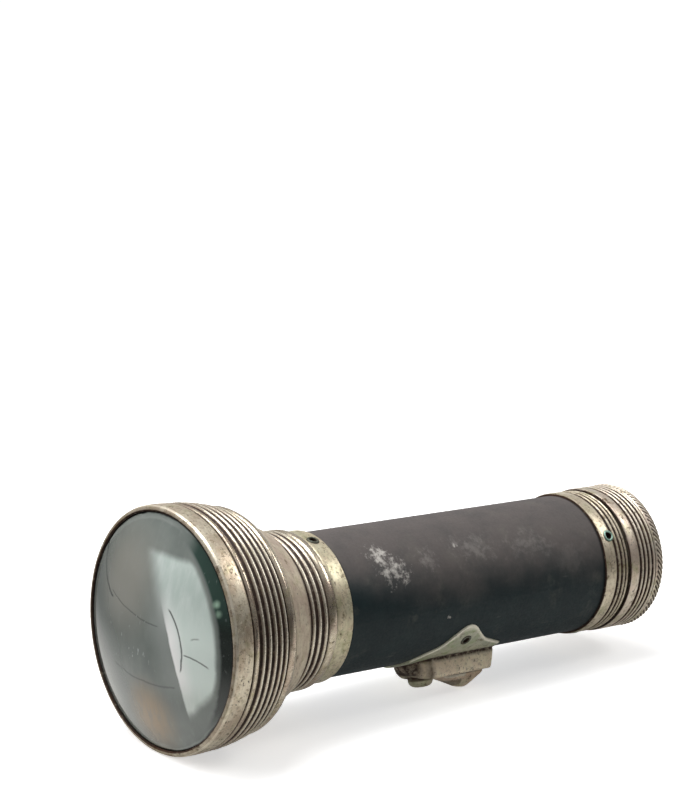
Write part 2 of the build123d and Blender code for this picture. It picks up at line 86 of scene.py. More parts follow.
def closed_mesh(name, verts, faces):
    """Mesh with all its faces turned outwards."""
    mesh = bpy.data.meshes.new(name)
    mesh.from_pydata([tuple(v) for v in verts], [], faces)
    build = bmesh.new()
    build.from_mesh(mesh)
    bmesh.ops.recalc_face_normals(build, faces=build.faces[:])
    build.to_mesh(mesh)
    build.free()
    return mesh


def smooth(mesh, sharp):
    """Smooth shading, but for edges sharper than so many degrees."""
    mesh.polygons.foreach_set("use_smooth", [True] * len(mesh.polygons))
    mesh.set_sharp_from_angle(angle=radians(sharp))


def write_layer(mesh, name, values):
    layer = mesh.attributes.get(name) or mesh.attributes.new(name, "FLOAT", "POINT")
    layer.data.foreach_set("value", np.array(values, np.float32))


def add_piece(name, body, material, node, slot, verts, faces, dirt_and_shade=None, sharp=40):
    """Links a closed mesh, puts it on its body and hides the CAD node it replaces.

    Each point has a number for soil and shade: 1 is fully darkened, as soil in grooves and as
    painted shade in gaps, recesses and undersides; below 0 is lightened, as worn metal and as a
    painted highlight on crests and edges.
    """
    mesh = closed_mesh(name, verts, faces)
    smooth(mesh, sharp)
    if dirt_and_shade is not None:
        soil = np.array(dirt_and_shade)
        write_layer(mesh, "dirt_and_shade", soil.clip(0, 1))
        write_layer(mesh, "wear_and_highlight", (-soil).clip(0, 1))
    mesh.materials.append(material)
    obj = link(name, mesh)
    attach(obj, body)
    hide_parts(node)
    return obj


def circle(steps):
    """Cosine and sine of each step round a full turn."""
    angles = [2 * pi * i / steps for i in range(steps)]
    return [(cos(angle), sin(angle)) for angle in angles]


def numbered(rings, count, start=0):
    """Point numbers of so many rings of count points each."""
    return [range(start + k * count, start + (k + 1) * count) for k in range(rings)]


def join_rings(rings):
    """Faces from each ring of point numbers to the next; a ring can be one point repeated."""
    faces = []
    for a, b in zip(rings, rings[1:]):
        for i in range(len(a)):
            j = (i + 1) % len(a)
            face = tuple(dict.fromkeys((a[i], b[i], b[j], a[j])))
            if len(face) > 2:
                faces.append(face)
    return faces


def ripple(station, degrees, size, seed):
    """Gentle dents of a hand-worn shell, in mm."""
    spot = Vector(point(station, 20, degrees)) * (1000 / 9) + Vector((seed, seed, seed))
    return size * noise.noise(spot)


def lathe(outline, segments, dent=0, seed=0, knurl=None):
    """Verts, faces and soil-and-shade numbers of a closed (station, radius, soil and shade)
    outline turned about the axis.
    """
    verts, dirt_and_shade, rings = [], [], []
    for station, radius, grime_and_shade in outline:
        if radius < 1e-6:
            rings.append([len(verts)] * segments)
            verts.append(point(station, 0, 0))
            dirt_and_shade.append(grime_and_shade)
            continue
        rings += numbered(1, segments, len(verts))
        for i in range(segments):
            degrees = 360 * i / segments
            out = radius + (ripple(station, degrees, dent, seed) if dent else 0)
            cut = knurl(station, degrees, radius) if knurl else 0
            verts.append(point(station, out - cut, degrees))
            dirt_and_shade.append(min(1, grime_and_shade + 6 * cut))
    return verts, join_rings(rings + rings[:1]), dirt_and_shade


def beads(first, pitch, count, crest, depth, steps=16):
    """Rolled ridges between `count` valleys, as (station, radius, soil and crest lightening)."""
    points = []
    for k in range(count - 1):
        for j in range(steps):
            u = -1 + 2 * j / steps
            station = first + (k + 0.5 + 0.5 * u) * pitch
            drop = 0.5 - 0.5 * cos(pi * abs(u) ** 1.15)
            points.append((station, crest(station) - depth * drop, grime_and_crest_highlight(drop)))
    last = first + (count - 1) * pitch
    points.append((last, crest(last) - depth, 1))
    return points


def grime_and_crest_highlight(drop):
    """Soil gathers in the lower part of a groove, and a ridge's crest is lightened, partly as worn
    metal and partly as a painted highlight line.
    """
    if drop < 0.12:
        return -0.95 * (1 - drop / 0.12)
    return min(1, max(0, (drop - 0.20) / 0.32))


def softer(points, rub, soil=1):
    """The same outline with less crest lightening (worn metal and painted highlight) and less
    soil and shade.
    """
    return [(station, radius, min(soil, max(-rub, grime_and_shade))) for station, radius, grime_and_shade in points]


def clean(points, grime_and_shade=0):
    return [(station, radius, grime_and_shade) for station, radius in points]


def smooth_line(points, steps=5):
    """Catmull-Rom curve through (station, radius) points."""
    out = []
    for i in range(len(points) - 1):
        p0 = points[max(0, i - 1)]
        p1, p2 = points[i], points[i + 1]
        p3 = points[min(len(points) - 1, i + 2)]
        for j in range(steps):
            t = j / steps
            out.append(tuple(
                0.5 * (2 * b + (c - a) * t + (2 * a - 5 * b + 4 * c - d) * t * t
                       + (3 * b - a - 3 * c + d) * t ** 3)
                for a, b, c, d in zip(p0, p1, p2, p3)))
    out.append(points[-1])
    return out


def turned_frame(station, degrees):
    """Matrix whose Z points out of the barrel at that place, X along +station and Y across."""
    angle = radians(degrees)
    out = Vector((cos(angle), 0, sin(angle)))
    along = Vector((0, 1, 0))
    side = out.cross(along)
    place = Matrix((along, side, out)).transposed().to_4x4()
    place.translation = Vector((0, depth_of(station), 0))
    return place


def carve(obj, *cutters):
    """Cuts closed meshes out of a piece."""
    tools = []
    for verts, faces in cutters:
        tools.append(link("cutter", closed_mesh("cutter", verts, faces)))
        cut = obj.modifiers.new("cut", "BOOLEAN")
        cut.operation = "DIFFERENCE"
        cut.solver = "EXACT"
        cut.object = tools[-1]
    return tools


def bake(obj, tools, sharp=40):
    """Applies a piece's modifiers and removes the cutters."""
    bpy.context.view_layer.update()
    ready = obj.evaluated_get(bpy.context.evaluated_depsgraph_get())
    mesh = bpy.data.meshes.new_from_object(ready)
    obj.modifiers.clear()
    obj.data = mesh
    for tool in tools:
        bpy.data.objects.remove(tool)
    smooth(mesh, sharp)


def eyelet_drill(station, degrees, steps=32):
    """Cutter for an eyelet's hole."""
    place = turned_frame(station, degrees)
    verts = [place @ (Vector((EYELET_HOLE_R * x, EYELET_HOLE_R * y, height)) * MM)
             for height in (17, 22) for x, y in circle(steps)]
    low, high = numbered(2, steps)
    return verts, [tuple(low), tuple(high)] + join_rings([low, high])


# ---------------------------------------------------------------- material helpers

class Graph:
    """Short ways to add nodes to a node tree."""

    def __init__(self, tree):
        self.nodes, self.links = tree.nodes, tree.links

    def put(self, socket, value):
        if isinstance(value, bpy.types.NodeSocket):
            self.links.new(value, socket)
        elif socket.type == "RGBA" and len(value) == 3:
            socket.default_value = (*value, 1)
        else:
            socket.default_value = value

    def add(self, kind, *values, operation=None, **inputs):
        node = self.nodes.new("ShaderNode" + kind)
        if operation:
            node.operation = operation
        for socket, value in zip(node.inputs, values):
            self.put(socket, value)
        for key, value in inputs.items():
            self.put(node.inputs[key.replace("_", " ")], value)
        return node

    def math(self, operation, *values, clamp=False):
        node = self.add("Math", *values, operation=operation)
        node.use_clamp = clamp
        return node.outputs[0]

    def times(self, first, *others, clamp=False):
        for other in others:
            first = self.math("MULTIPLY", first, other, clamp=clamp)
        return first

    def plus(self, a, b, clamp=False):
        return self.math("ADD", a, b, clamp=clamp)

    def minus(self, a, b, clamp=False):
        return self.math("SUBTRACT", a, b, clamp=clamp)

    def most(self, first, *others):
        for other in others:
            first = self.math("MAXIMUM", first, other)
        return first

    def vector(self, operation, *values):
        """A vector operation's result, which is a number for a length or a dot product."""
        node = self.add("VectorMath", *values, operation=operation)
        return node.outputs["Value" if operation in ("LENGTH", "DOT_PRODUCT") else "Vector"]

    def ramp(self, value, low, high, out_low=0, out_high=1):
        """Smooth step from out_low to out_high as value goes from low to high."""
        node = self.add("MapRange", value, low, high, out_low, out_high)
        node.interpolation_type = "SMOOTHSTEP"
        return node.outputs[0]

    def mix(self, share, a, b, blend="MIX"):
        node = self.nodes.new("ShaderNodeMix")
        node.data_type = "RGBA"
        node.blend_type = blend
        for index, value in ((0, share), (6, a), (7, b)):
            self.put(node.inputs[index], value)
        return node.outputs[2]

    def paint(self, colour, *coats):
        """A colour under coats of (share, colour)."""
        for share, coat in coats:
            colour = self.mix(share, colour, coat)
        return colour


class Shader(Graph):
    """One material's nodes."""

    def __init__(self, name):
        self.material = bpy.data.materials.new(name)
        self.material.use_nodes = True
        super().__init__(self.material.node_tree)
        self.surface = self.nodes["Principled BSDF"]
        self.place = self.add("TexCoord").outputs["Object"]

    def stretch(self, scale):
        return self.add("Mapping", Vector=self.place, Scale=scale).outputs[0]

    def noise(self, size_mm, detail=3, rough=0.55, vector=None, offset=0):
        """Noise whose features are about size_mm across, from 0 to 1."""
        source = vector or self.place
        if offset:
            source = self.vector("ADD", source, (offset, offset * 0.7, -offset))
        return self.add("TexNoise", Vector=source, Scale=1000 / size_mm, Detail=detail,
                        Roughness=rough).outputs["Fac"]

    def bump(self, height, depth_mm, under=None):
        node = self.add("Bump", Height=height, Distance=depth_mm * MM, Strength=1)
        if under is not None:
            self.put(node.inputs["Normal"], under)
        return node.outputs[0]

    def attribute(self, name):
        node = self.add("Attribute")
        node.attribute_name = name
        return node.outputs["Fac"]

    def shade(self, **inputs):
        for key, value in inputs.items():
            self.put(self.surface.inputs[key.replace("_", " ")], value)
        return self.material


def aged_metal(name, light, second, green, green_share, rough, pits=0.5, dull=0.12, satin=None,
               stain=0.55, turned=True, texture=1):
    """Worn nickel over brass: patchy colour, fine turning lines, pits, soil in the grooves with
    painted shade in gaps and recesses, and worn lightening that is partly a painted highlight.

    dull is the share that tarnish has made matt, satin names two stations between which the
    metal has lost its polish, turned metal shows the lathe's lines, and texture is unevenness.
    """
    s = Shader(name)
    grime_and_shade = (0.034, 0.016, 0.009)
    patches = s.noise(7, 4, 0.65)
    tinge = s.noise(4.5, 5, 0.7, offset=0.31)
    mottle = s.noise(1.3, 4, 0.75, offset=0.71)
    turning = s.noise(1, 2, 0.6, vector=s.stretch((0.035, 3, 0.035)))
    speck = s.noise(0.85, 2, 0.6, offset=0.13)
    cloud = s.noise(6, 3, 0.6, offset=0.57)
    ragged = s.noise(1.4, 3, 0.7, offset=0.77)
    pit = s.times(s.ramp(speck, 0.60, 0.66), s.ramp(cloud, 0.62 - 0.22 * pits, 0.76))
    stains = s.ramp(s.noise(3.2, 5, 0.72, offset=0.93), 0.56, 0.70, 0, stain)
    rubbed_and_highlight = s.times(s.attribute("wear_and_highlight"), s.ramp(ragged, 0.25, 0.55, 0.6, 1))
    dirt_and_shade = s.times(s.attribute("dirt_and_shade"), s.ramp(ragged, 0.25, 0.6, 0.78, 1.25), clamp=True)
    hidden = s.most(dirt_and_shade, pit)
    colour = s.paint(
        light, (s.ramp(patches, 0.40, 0.60), second),
        (s.ramp(tinge, 0.62 - 0.3 * green_share, 0.84 - 0.3 * green_share), green),
        (s.ramp(mottle, 0.30, 0.50, 0.45 * texture, 0), (0.25, 0.18, 0.10)),
        (s.ramp(mottle, 0.55, 0.75, 0, 0.28), (0.86, 0.82, 0.72)),
        (s.ramp(turning, 0.40, 0.75, 0, 0.20 if turned else 0), (0.30, 0.22, 0.14)),
        (s.times(pit, 0.9), grime_and_shade), (stains, (0.12, 0.085, 0.045)),
        # Lightened nearly white where worn; on crests and rolled edges this is partly a painted
        # highlight.
        (s.times(rubbed_and_highlight, 0.9), (0.98, 0.93, 0.78)),
        # Soil in the grooves, and painted shade in gaps, recesses and undersides.
        (dirt_and_shade, s.mix(s.ramp(tinge, 0.48, 0.66), grime_and_shade, (0.060, 0.028, 0.015))))
    roughness = s.plus(s.ramp(mottle, 0.3, 0.7, rough + 0.12, rough), s.times(stains, 0.35))
    roughness = s.plus(roughness, s.times(hidden, 0.4), clamp=True)
    metal = s.minus(1 - dull, s.times(hidden, 0.8), clamp=True)
    metal = s.minus(metal, s.times(rubbed_and_highlight, 0.5), clamp=True)
    if satin:
        depth = s.add("SeparateXYZ", Vector=s.place).outputs["Y"]
        front, back = [depth_of(station) for station in satin]
        worn = s.times(s.ramp(depth, front, front + 0.6 * MM),
                      s.ramp(depth, back - 0.6 * MM, back, 1, 0))
        roughness = s.plus(roughness, s.times(worn, 0.24), clamp=True)
        metal = s.minus(metal, s.times(worn, 0.22), clamp=True)
    normal = s.bump(turning, 0.008 if turned else 0)
    height = s.plus(s.times(mottle, 0.5), s.times(speck, 0.3))
    normal = s.bump(s.minus(height, pit), 0.045 * texture, under=normal)
    return s.shade(Base_Color=colour, Metallic=metal, Roughness=roughness, Normal=normal)


def fine_metal(name, light, dark, rough, size_mm=4, grain=0.02):
    """Clean sheet or wire metal with faint blotches."""
    s = Shader(name)
    blotch = s.noise(size_mm, 4, 0.6)
    fine = s.noise(0.5, 2, 0.6, offset=0.21)
    return s.shade(Base_Color=s.mix(s.ramp(blotch, 0.3, 0.7), light, dark), Metallic=1,
                   Roughness=s.ramp(fine, 0.3, 0.7, rough, rough + 0.15),
                   Normal=s.bump(fine, grain))


def plain_stuff(name, light, dark, rough, size_mm=3, grain=0.08, fibre=None):
    """Non-metal with mottled colour; fibre stretches the grain."""
    s = Shader(name)
    blotch = s.noise(size_mm, 5, 0.65)
    source = s.stretch(fibre) if fibre else None
    fine = s.noise(0.6, 3, 0.65, vector=source, offset=0.4)
    colour = s.mix(s.ramp(blotch, 0.3, 0.7), light, dark)
    colour = s.mix(s.ramp(fine, 0.35, 0.75, 0, 0.4), colour, dark)
    return s.shade(Base_Color=colour, Roughness=s.ramp(fine, 0.3, 0.7, rough, min(1, rough + 0.2)),
                   Normal=s.bump(fine, grain))


def clear_glass(name, tint, rough, ior=1.5):
    s = Shader(name)
    smear = s.noise(6, 4, 0.6)
    return s.shade(Base_Color=s.mix(s.ramp(smear, 0.4, 0.8, 0, 0.3), tint, (0.8, 0.84, 0.8)),
                   Roughness=s.ramp(smear, 0.35, 0.75, rough, rough + 0.06),
                   Transmission_Weight=1, IOR=ior)


def fibre_material():
    """Black vulcanised fibre: dusty on top and painted lighter there, with scuffs, flecks, faint
    blotches and painted shadow bands beside the ferrule edges.
    """
    s = Shader("fibre_black")
    axes = s.add("SeparateXYZ", Vector=s.place)
    height = s.math("DIVIDE", axes.outputs["Z"], BARREL_R * MM)
    mottle = s.noise(7, 5, 0.62)
    cloudy = s.noise(16, 4, 0.6, offset=0.35)
    fine = s.noise(0.7, 3, 0.7, offset=0.2)
    lengthwise = s.noise(1.2, 3, 0.6, vector=s.stretch((1, 0.12, 1)), offset=0.6)
    base = s.mix(s.ramp(mottle, 0.35, 0.7), (0.0030, 0.0145, 0.0180), (0.0065, 0.0205, 0.0235))
    # Lighter towards the top: partly dusty and partly a painted top light.
    edge = s.plus(height, s.times(s.minus(cloudy, 0.5), 0.7))
    edge = s.plus(edge, s.ramp(axes.outputs["Y"], -0.112, -0.082, -0.30, 0))
    dust_and_top_light = s.times(s.ramp(edge, -0.05, 0.62), s.ramp(mottle, 0.25, 0.7, 0.80, 1.08))
    bloom = s.noise(8, 5, 0.68, offset=0.9)
    # Painted shadow: dark bands on the fibre just behind the front ferrule's edge and just before
    # the rear ferrule's edge.
    front = s.ramp(axes.outputs["Y"], depth_of(46.2), depth_of(47.3), 0.95, 0)
    rear = s.ramp(axes.outputs["Y"], depth_of(136.4), depth_of(137.3), 0, 0.95)
    colour = s.paint(
        base, (dust_and_top_light, (0.098, 0.086, 0.082)),
        (s.ramp(bloom, 0.54, 0.74, 0, 0.26), (0.14, 0.135, 0.112)),
        (s.ramp(lengthwise, 0.66, 0.78, 0, 0.32), (0.15, 0.145, 0.135)),
        *[(scuff(s, *row), (0.56, 0.535, 0.495)) for row in SCUFFS],
        # The painted shadow bands by the ferrule edges.
        (front, (0.004, 0.005, 0.005)), (rear, (0.004, 0.005, 0.005)))
    rough = s.plus(s.ramp(fine, 0.3, 0.7, 0.46, 0.62), s.times(dust_and_top_light, 0.2))
    normal = s.bump(mottle, 0.10)
    normal = s.bump(fine, 0.035, under=normal)
    normal = s.bump(lengthwise, 0.02, under=normal)
    return s.shade(Base_Color=colour, Roughness=rough, Normal=normal, Specular_IOR_Level=0.32)


# Scuffs on the barrel: station, angle, half length, half width in mm, strength,
# noise size in mm
SCUFFS = (
    (60, 50, 4, 3.5, 1, 1.5),
    (63, 36, 5, 4, 0.9, 1.5),
    (75, 40, 4, 4, 0.2, 2),
    (92, 45, 9, 5, 0.15, 2.5),
    (112, 40, 9, 5, 0.12, 2.5),
    (124, 22, 9, 5.5, 0.06, 4.5),
    (86, 50, 1, 0.8, 0.8, 1),
    (80, -8, 0.9, 0.6, 0.8, 1),
    (70, 120, 9, 6, 0.2, 2.5),
    (120, 160, 8, 5, 0.15, 2.5),
    (98, 215, 6, 5, 0.2, 2),
)


def scuff(s, station, degrees, length, width, strength, edge):
    """Share of a ragged pale patch on the barrel."""
    away = s.vector("SUBTRACT", s.place, point(station, BARREL_R, degrees))
    scale = (1 / (width * MM), 1 / (length * MM), 1 / (width * MM))
    size = s.vector("LENGTH", s.vector("MULTIPLY", away, scale))
    ragged = s.noise(edge, 4, 0.7, offset=station * 0.01)
    value = s.plus(s.minus(1.35, size), s.times(s.minus(ragged, 0.5), 4.2))
    return s.ramp(value, 0.35, 1.75, 0, strength)


# ---------------------------------------------------------------- materials

NICKEL = aged_metal(
    "nickel_worn", (0.72, 0.64, 0.50), (0.60, 0.49, 0.39), (0.50, 0.45, 0.27),
    0.35, 0.22, dull=0.16, satin=(21.9, 31), stain=0.65)
NICKEL_BEZEL = aged_metal(
    "nickel_bezel", (0.84, 0.76, 0.60), (0.64, 0.53, 0.40), (0.54, 0.48, 0.31),
    0.45, 0.30, pits=1.5, dull=0.26, stain=0.9, texture=1.6)
BRASS_BAND = aged_metal(
    "brass_band", (0.76, 0.71, 0.51), (0.70, 0.61, 0.44), (0.50, 0.48, 0.29),
    0.5, 0.32, pits=2, dull=0.38, stain=0.85, texture=1.3)
TAIL_BAND = aged_metal(
    "nickel_tail_band", (0.80, 0.72, 0.56), (0.66, 0.57, 0.43), (0.50, 0.48, 0.30),
    0.45, 0.33, pits=1.2, dull=0.34, stain=0.85, texture=1.3)
TAIL_CAP = aged_metal(
    "nickel_tail_cap", (0.84, 0.76, 0.64), (0.78, 0.65, 0.54), (0.56, 0.52, 0.34),
    0.5, 0.36, pits=0.9, dull=0.22, stain=0.85, texture=1.3)
PLATE_METAL = aged_metal(
    "switch_plate_metal", (0.58, 0.58, 0.46), (0.48, 0.50, 0.38), (0.36, 0.43, 0.24),
    0.5, 0.40, pits=0.9, dull=0.5, stain=0.75, turned=False)
HOUSING_METAL = aged_metal(
    "switch_housing_metal", (0.98, 0.88, 0.66), (0.88, 0.74, 0.56), (0.64, 0.60, 0.37),
    0.4, 0.36, pits=1.3, dull=0.6, stain=0.9, turned=False)
FIN_METAL = aged_metal(
    "slider_metal", (0.84, 0.72, 0.54), (0.66, 0.49, 0.35), (0.60, 0.54, 0.36),
    0.3, 0.38, pits=1.2, dull=0.6, stain=0.8, turned=False)
EYELET_DARK = aged_metal(
    "eyelet_dark", (0.12, 0.13, 0.10), (0.07, 0.08, 0.06), (0.10, 0.16, 0.13),
    0.4, 0.5, pits=0.8, dull=0.4)
VERDIGRIS = aged_metal(
    "eyelet_verdigris", (0.32, 0.48, 0.41), (0.18, 0.36, 0.31), (0.20, 0.36, 0.28),
    0.5, 0.45, pits=0.8)
BUTTON_METAL = aged_metal(
    "button_metal", (0.58, 0.55, 0.41), (0.50, 0.43, 0.31), (0.42, 0.44, 0.28),
    0.5, 0.34, pits=0.8)
FIBRE = fibre_material()

SLOT_MATERIALS = {
    "plated_brass": NICKEL,
    "fibre": FIBRE,
    "lens_glass": None,
    "lamp_glass": clear_glass("lamp_glass", (0.97, 0.98, 0.96, 1), 0.02, 1.3),
    "silvered": fine_metal("reflector_silver", (0.52, 0.53, 0.50), (0.40, 0.41, 0.38), 0.34, 8),
    "brass": fine_metal("brass_clean", (0.62, 0.46, 0.22), (0.46, 0.32, 0.14), 0.28),
    "contact_bronze": fine_metal("bronze_spring", (0.56, 0.38, 0.20), (0.40, 0.26, 0.13), 0.3),
    "spring_steel": fine_metal("steel_wire", (0.46, 0.45, 0.43), (0.26, 0.24, 0.22), 0.3, 2),
    "fine_wire": fine_metal("lamp_wire", (0.36, 0.35, 0.35), (0.22, 0.22, 0.22), 0.35, 1),
    "insulator": plain_stuff("red_fibre", (0.30, 0.10, 0.07), (0.20, 0.06, 0.05), 0.6),
    "cork": plain_stuff("cork_ring", (0.42, 0.30, 0.19), (0.24, 0.16, 0.10), 0.8, 1.2),
    "lamp_cement": plain_stuff("lamp_cement_black", (0.03, 0.03, 0.03), (0.02, 0.02, 0.02), 0.2),
    "verdigris_brass": VERDIGRIS,
    "switch_brass": HOUSING_METAL,
    "cell_zinc": fine_metal("zinc_can", (0.50, 0.52, 0.54), (0.38, 0.40, 0.42), 0.5, 5),
    "cell_card": plain_stuff("cell_card_brown", (0.40, 0.28, 0.15), (0.30, 0.20, 0.10), 0.8, 4,
                             0.05, (1, 0.15, 1)),
    "cell_pitch": plain_stuff("pitch_black", (0.04, 0.035, 0.03), (0.02, 0.02, 0.02), 0.3),
    "cell_carbon": plain_stuff("carbon_rod_grey", (0.07, 0.07, 0.07), (0.04, 0.04, 0.04), 0.5),
    "cell_mix": plain_stuff("manganese_mix", (0.05, 0.045, 0.04), (0.02, 0.02, 0.02), 0.9, 1),
    "cell_paste": plain_stuff("starch_paste", (0.66, 0.62, 0.50), (0.52, 0.48, 0.38), 0.6),
}


# Hairline cracks in the lens: one end and the other (x, z), how far the crack bows
# to the right of that line, its half width, all in mm, and its strength
CRACKS = (
    ((-24, 24), (-13, 6), 4, 0.55, 0.8),
    ((-15, 8), (8, 4), 1, 0.30, 0.6),
    ((15.5, -6), (10, 9.5), 2.5, 0.35, 0.85),
    ((24, -3), (16, -1), 0.6, 0.30, 0.75),
    ((-12, -10), (14, -10), 1.5, 0.40, 0.6),
    ((21, 4), (18, 3), 0.2, 0.30, 0.5),
)


def bow(start, end, sag):
    """Centre and radius of the arc from start to end that bows by sag to the right."""
    start, end = Vector(start), Vector(end)
    along = end - start
    radius = (along.length_squared / 4 + sag * sag) / (2 * sag)
    right = Vector((along.y, -along.x)).normalized()
    centre = (start + end) / 2 - right * (radius - sag)
    return centre.x, centre.y, radius


def lens_material():
    """Thick old glass: clouded, with hairline cracks and scratches, a painted reflection (a light
    patch with a bright band at its left edge and two small glints), painted shade (a dark crescent
    and a near-black rim) and a painted highlight ring inside the rim.
    """
    s = Shader("bulls_eye_glass")
    axes = s.add("SeparateXYZ", Vector=s.place)
    waver = s.noise(5, 3, 0.6, offset=0.45)
    wobble = s.times(s.minus(waver, 0.5), 0.9)
    x = s.plus(s.times(axes.outputs["X"], 1000), wobble)
    z = s.minus(s.times(axes.outputs["Z"], 1000), wobble)

    def away(across, up, radius):
        """Distance in mm outside a circle on the lens."""
        a = s.minus(x, across)
        b = s.minus(z, up)
        far = s.math("SQRT", s.plus(s.times(a, a), s.times(b, b)))
        return s.minus(far, radius)

    haze = s.noise(12, 3, 0.55)
    smear = s.noise(2, 4, 0.65, vector=s.stretch((1, 1, 0.22)), offset=0.3)
    brown = s.ramp(away(-9, 12, 0), 4, 19, 0.8, 0)
    amber = s.times(s.ramp(away(2.5, -20.5, 0), 2, 12, 1, 0),
                    s.ramp(smear, 0.25, 0.55, 0.55, 1))
    # The light patch is a painted reflection; these masks give its outline.
    left = away(*bow((17, -20), (0, 22), 3))
    right = away(-4, -2, 30.5)
    vague = s.ramp(z, 1, 13)
    inside = s.plus(s.times(s.ramp(left, -3.6, 2.6), vague),
                    s.times(s.ramp(left, -0.3, 0.4), s.minus(1, vague)))
    corner = s.times(s.minus(x, z), 0.7)
    pale_reflection = s.times(inside, s.ramp(right, -1.6, -0.2, 1, 0), s.ramp(corner, 22.5, 25, 1, 0),
                  s.ramp(z, 20.2, 22.4, 1, 0), s.ramp(z, -19.5, -14.5))
    # Colour across the painted reflection.
    reflection_tone = s.paint(
        (1, 1, 0.98), (s.ramp(left, 0.3, 6), (0.76, 0.86, 0.80)),
        (s.ramp(z, 2, 15, 0, 0.9), (0.46, 0.54, 0.50)),
        (s.ramp(z, -14, -6, 0.75, 0), (0.50, 0.58, 0.52)),
        (s.ramp(smear, 0.35, 0.8, 0, 0.30), (0.86, 0.90, 0.87)))
    # Painted light: a bright band just inside the left edge of the painted reflection.
    glow = s.times(s.ramp(left, -9, -0.4, 0, 0.7), s.ramp(left, -0.4, 0, 1, 0),
                   s.ramp(z, -16, -6), s.ramp(z, 4, 18, 1, 0))
    # Painted shade: a dark crescent along the right edge, inside the rim.
    shade = s.times(s.ramp(right, -0.5, 0.8), s.ramp(z, -24, -12), s.ramp(x, 8, 15))
    edge_shade_colour = s.mix(s.ramp(z, 6, 14, 0, 0.8), (0.012, 0.017, 0.014), (0.030, 0.062, 0.050))
    # Painted reflection: two small light glints at the upper right.
    glint_spots = s.most(s.ramp(away(23.8, 13, 0.6), -0.5, 0.9, 0.8, 0),
                   s.ramp(away(24.9, 10.9, 0.5), -0.5, 0.8, 0.6, 0))
    glint_spots = s.times(glint_spots, s.ramp(smear, 0.3, 0.6, 0.5, 1))
    rim = away(0, 0, 29.35)
    # Painted highlight: a light ring just inside the rim, on the left half.
    rim_highlight = s.times(s.ramp(rim, -1.3, -0.7), s.ramp(rim, -0.4, 0, 1, 0),
                         s.ramp(x, 2, 10, 0.25, 0))
    flaw = None
    for start, end, sag, thick, strength in CRACKS:
        gap = s.math("ABSOLUTE", away(*bow(start, end, sag)))
        middle = (Vector(start) + Vector(end)) / 2
        beyond = away(middle.x, middle.y, (Vector(end) - Vector(start)).length / 2)
        line = s.times(s.ramp(gap, 0.1 * thick, 1.15 * thick, strength, 0),
                       s.ramp(beyond, -1, 0, 1, 0))
        flaw = line if flaw is None else s.most(flaw, line)
    nick = s.noise(1.1, 2, 0.6, vector=s.stretch((1, 1, 0.5)), offset=0.9)
    nicks = s.times(s.ramp(nick, 0.67, 0.73, 0, 0.75),
                    s.ramp(away(-4, -1, 0), 3, 16, 1, 0.1))
    colour = s.paint(
        (0.235, 0.268, 0.246), (s.ramp(haze, 0.3, 0.7), (0.305, 0.338, 0.312)),
        (brown, (0.44, 0.43, 0.38)), (s.ramp(smear, 0.5, 0.8, 0, 0.35), (0.40, 0.43, 0.41)),
        (amber, (0.46, 0.34, 0.21)), (pale_reflection, reflection_tone), (glow, (0.50, 0.54, 0.51)),
        (s.times(shade, 0.97), edge_shade_colour), (glint_spots, (0.40, 0.58, 0.44)),
        # The painted highlight ring, then the painted shade that makes the glass's edge under the
        # bezel's lip near black.
        (rim_highlight, (0.62, 0.66, 0.62)), (s.ramp(rim, 0, 0.5), (0.010, 0.012, 0.010)),
        (flaw, (0.045, 0.050, 0.048)), (nicks, (0.62, 0.66, 0.66)))
    # The painted reflection, the painted shade, the cracks and the rim let less light through.
    solid = s.most(s.times(pale_reflection, 0.9), s.most(flaw, shade))
    solid = s.most(solid, s.ramp(rim, -0.5, 0.2))
    fine = s.bump(s.plus(s.times(flaw, -1), s.times(nicks, -0.5)), 0.05)
    return s.shade(Base_Color=colour, Roughness=s.ramp(smear, 0.3, 0.8, 0.12, 0.22), Normal=fine,
                   IOR=1.5, Coat_Weight=1, Coat_Roughness=0.04,
                   Transmission_Weight=s.times(s.minus(1, solid), 0.38))


SLOT_MATERIALS["lens_glass"] = lens_material()

NODE_SLOT = {row["node"]: row["material_slot"] for row in frame["record"]["subparts"]}
for node, obj in frame["nodes"].items():
    obj.data.materials.clear()
    obj.data.materials.append(SLOT_MATERIALS[NODE_SLOT[node]])
    smooth(obj.data, 32)


# ---------------------------------------------------------------- head

def head_crest(station):
    return 31.5 - 2.1 * ((station - 6) / 12.4) ** 2


def neck_crest(station):
    return 20.95 + 0.75 * ((39 - station) / 8) ** 2


def make_bezel():
    lip = smooth_line([(0.55, 30.05), (0.22, 30.08), (0.03, 30.35), (0.05, 30.8), (0.35, 31.3),
                       (0.95, 31.56)])
    band = smooth_line([(0.95, 31.56), (2.2, 31.6), (4.2, 31.58), (5.2, 31.5), (5.62, 31.3),
                        (5.7, 31.05)])
    # The lip's inner edge is darkened and its rounded outer edge lightened.
    outline = [(spot, r, 1 if r < 30.5 else 0.3 if r < 31.25 else -0.4) for spot, r in lip[:-1]]
    outline += clean(band[:-2]) + clean(band[-2:], 0.6)
    outline += clean([(5.7, 30.9), (0.55, 30.9)], 0.8)
    add_piece("bezel_band", "bezel", NICKEL_BEZEL, "bezel_ring", "plated_brass",
              *lathe(outline, 288, 0.10, 3))


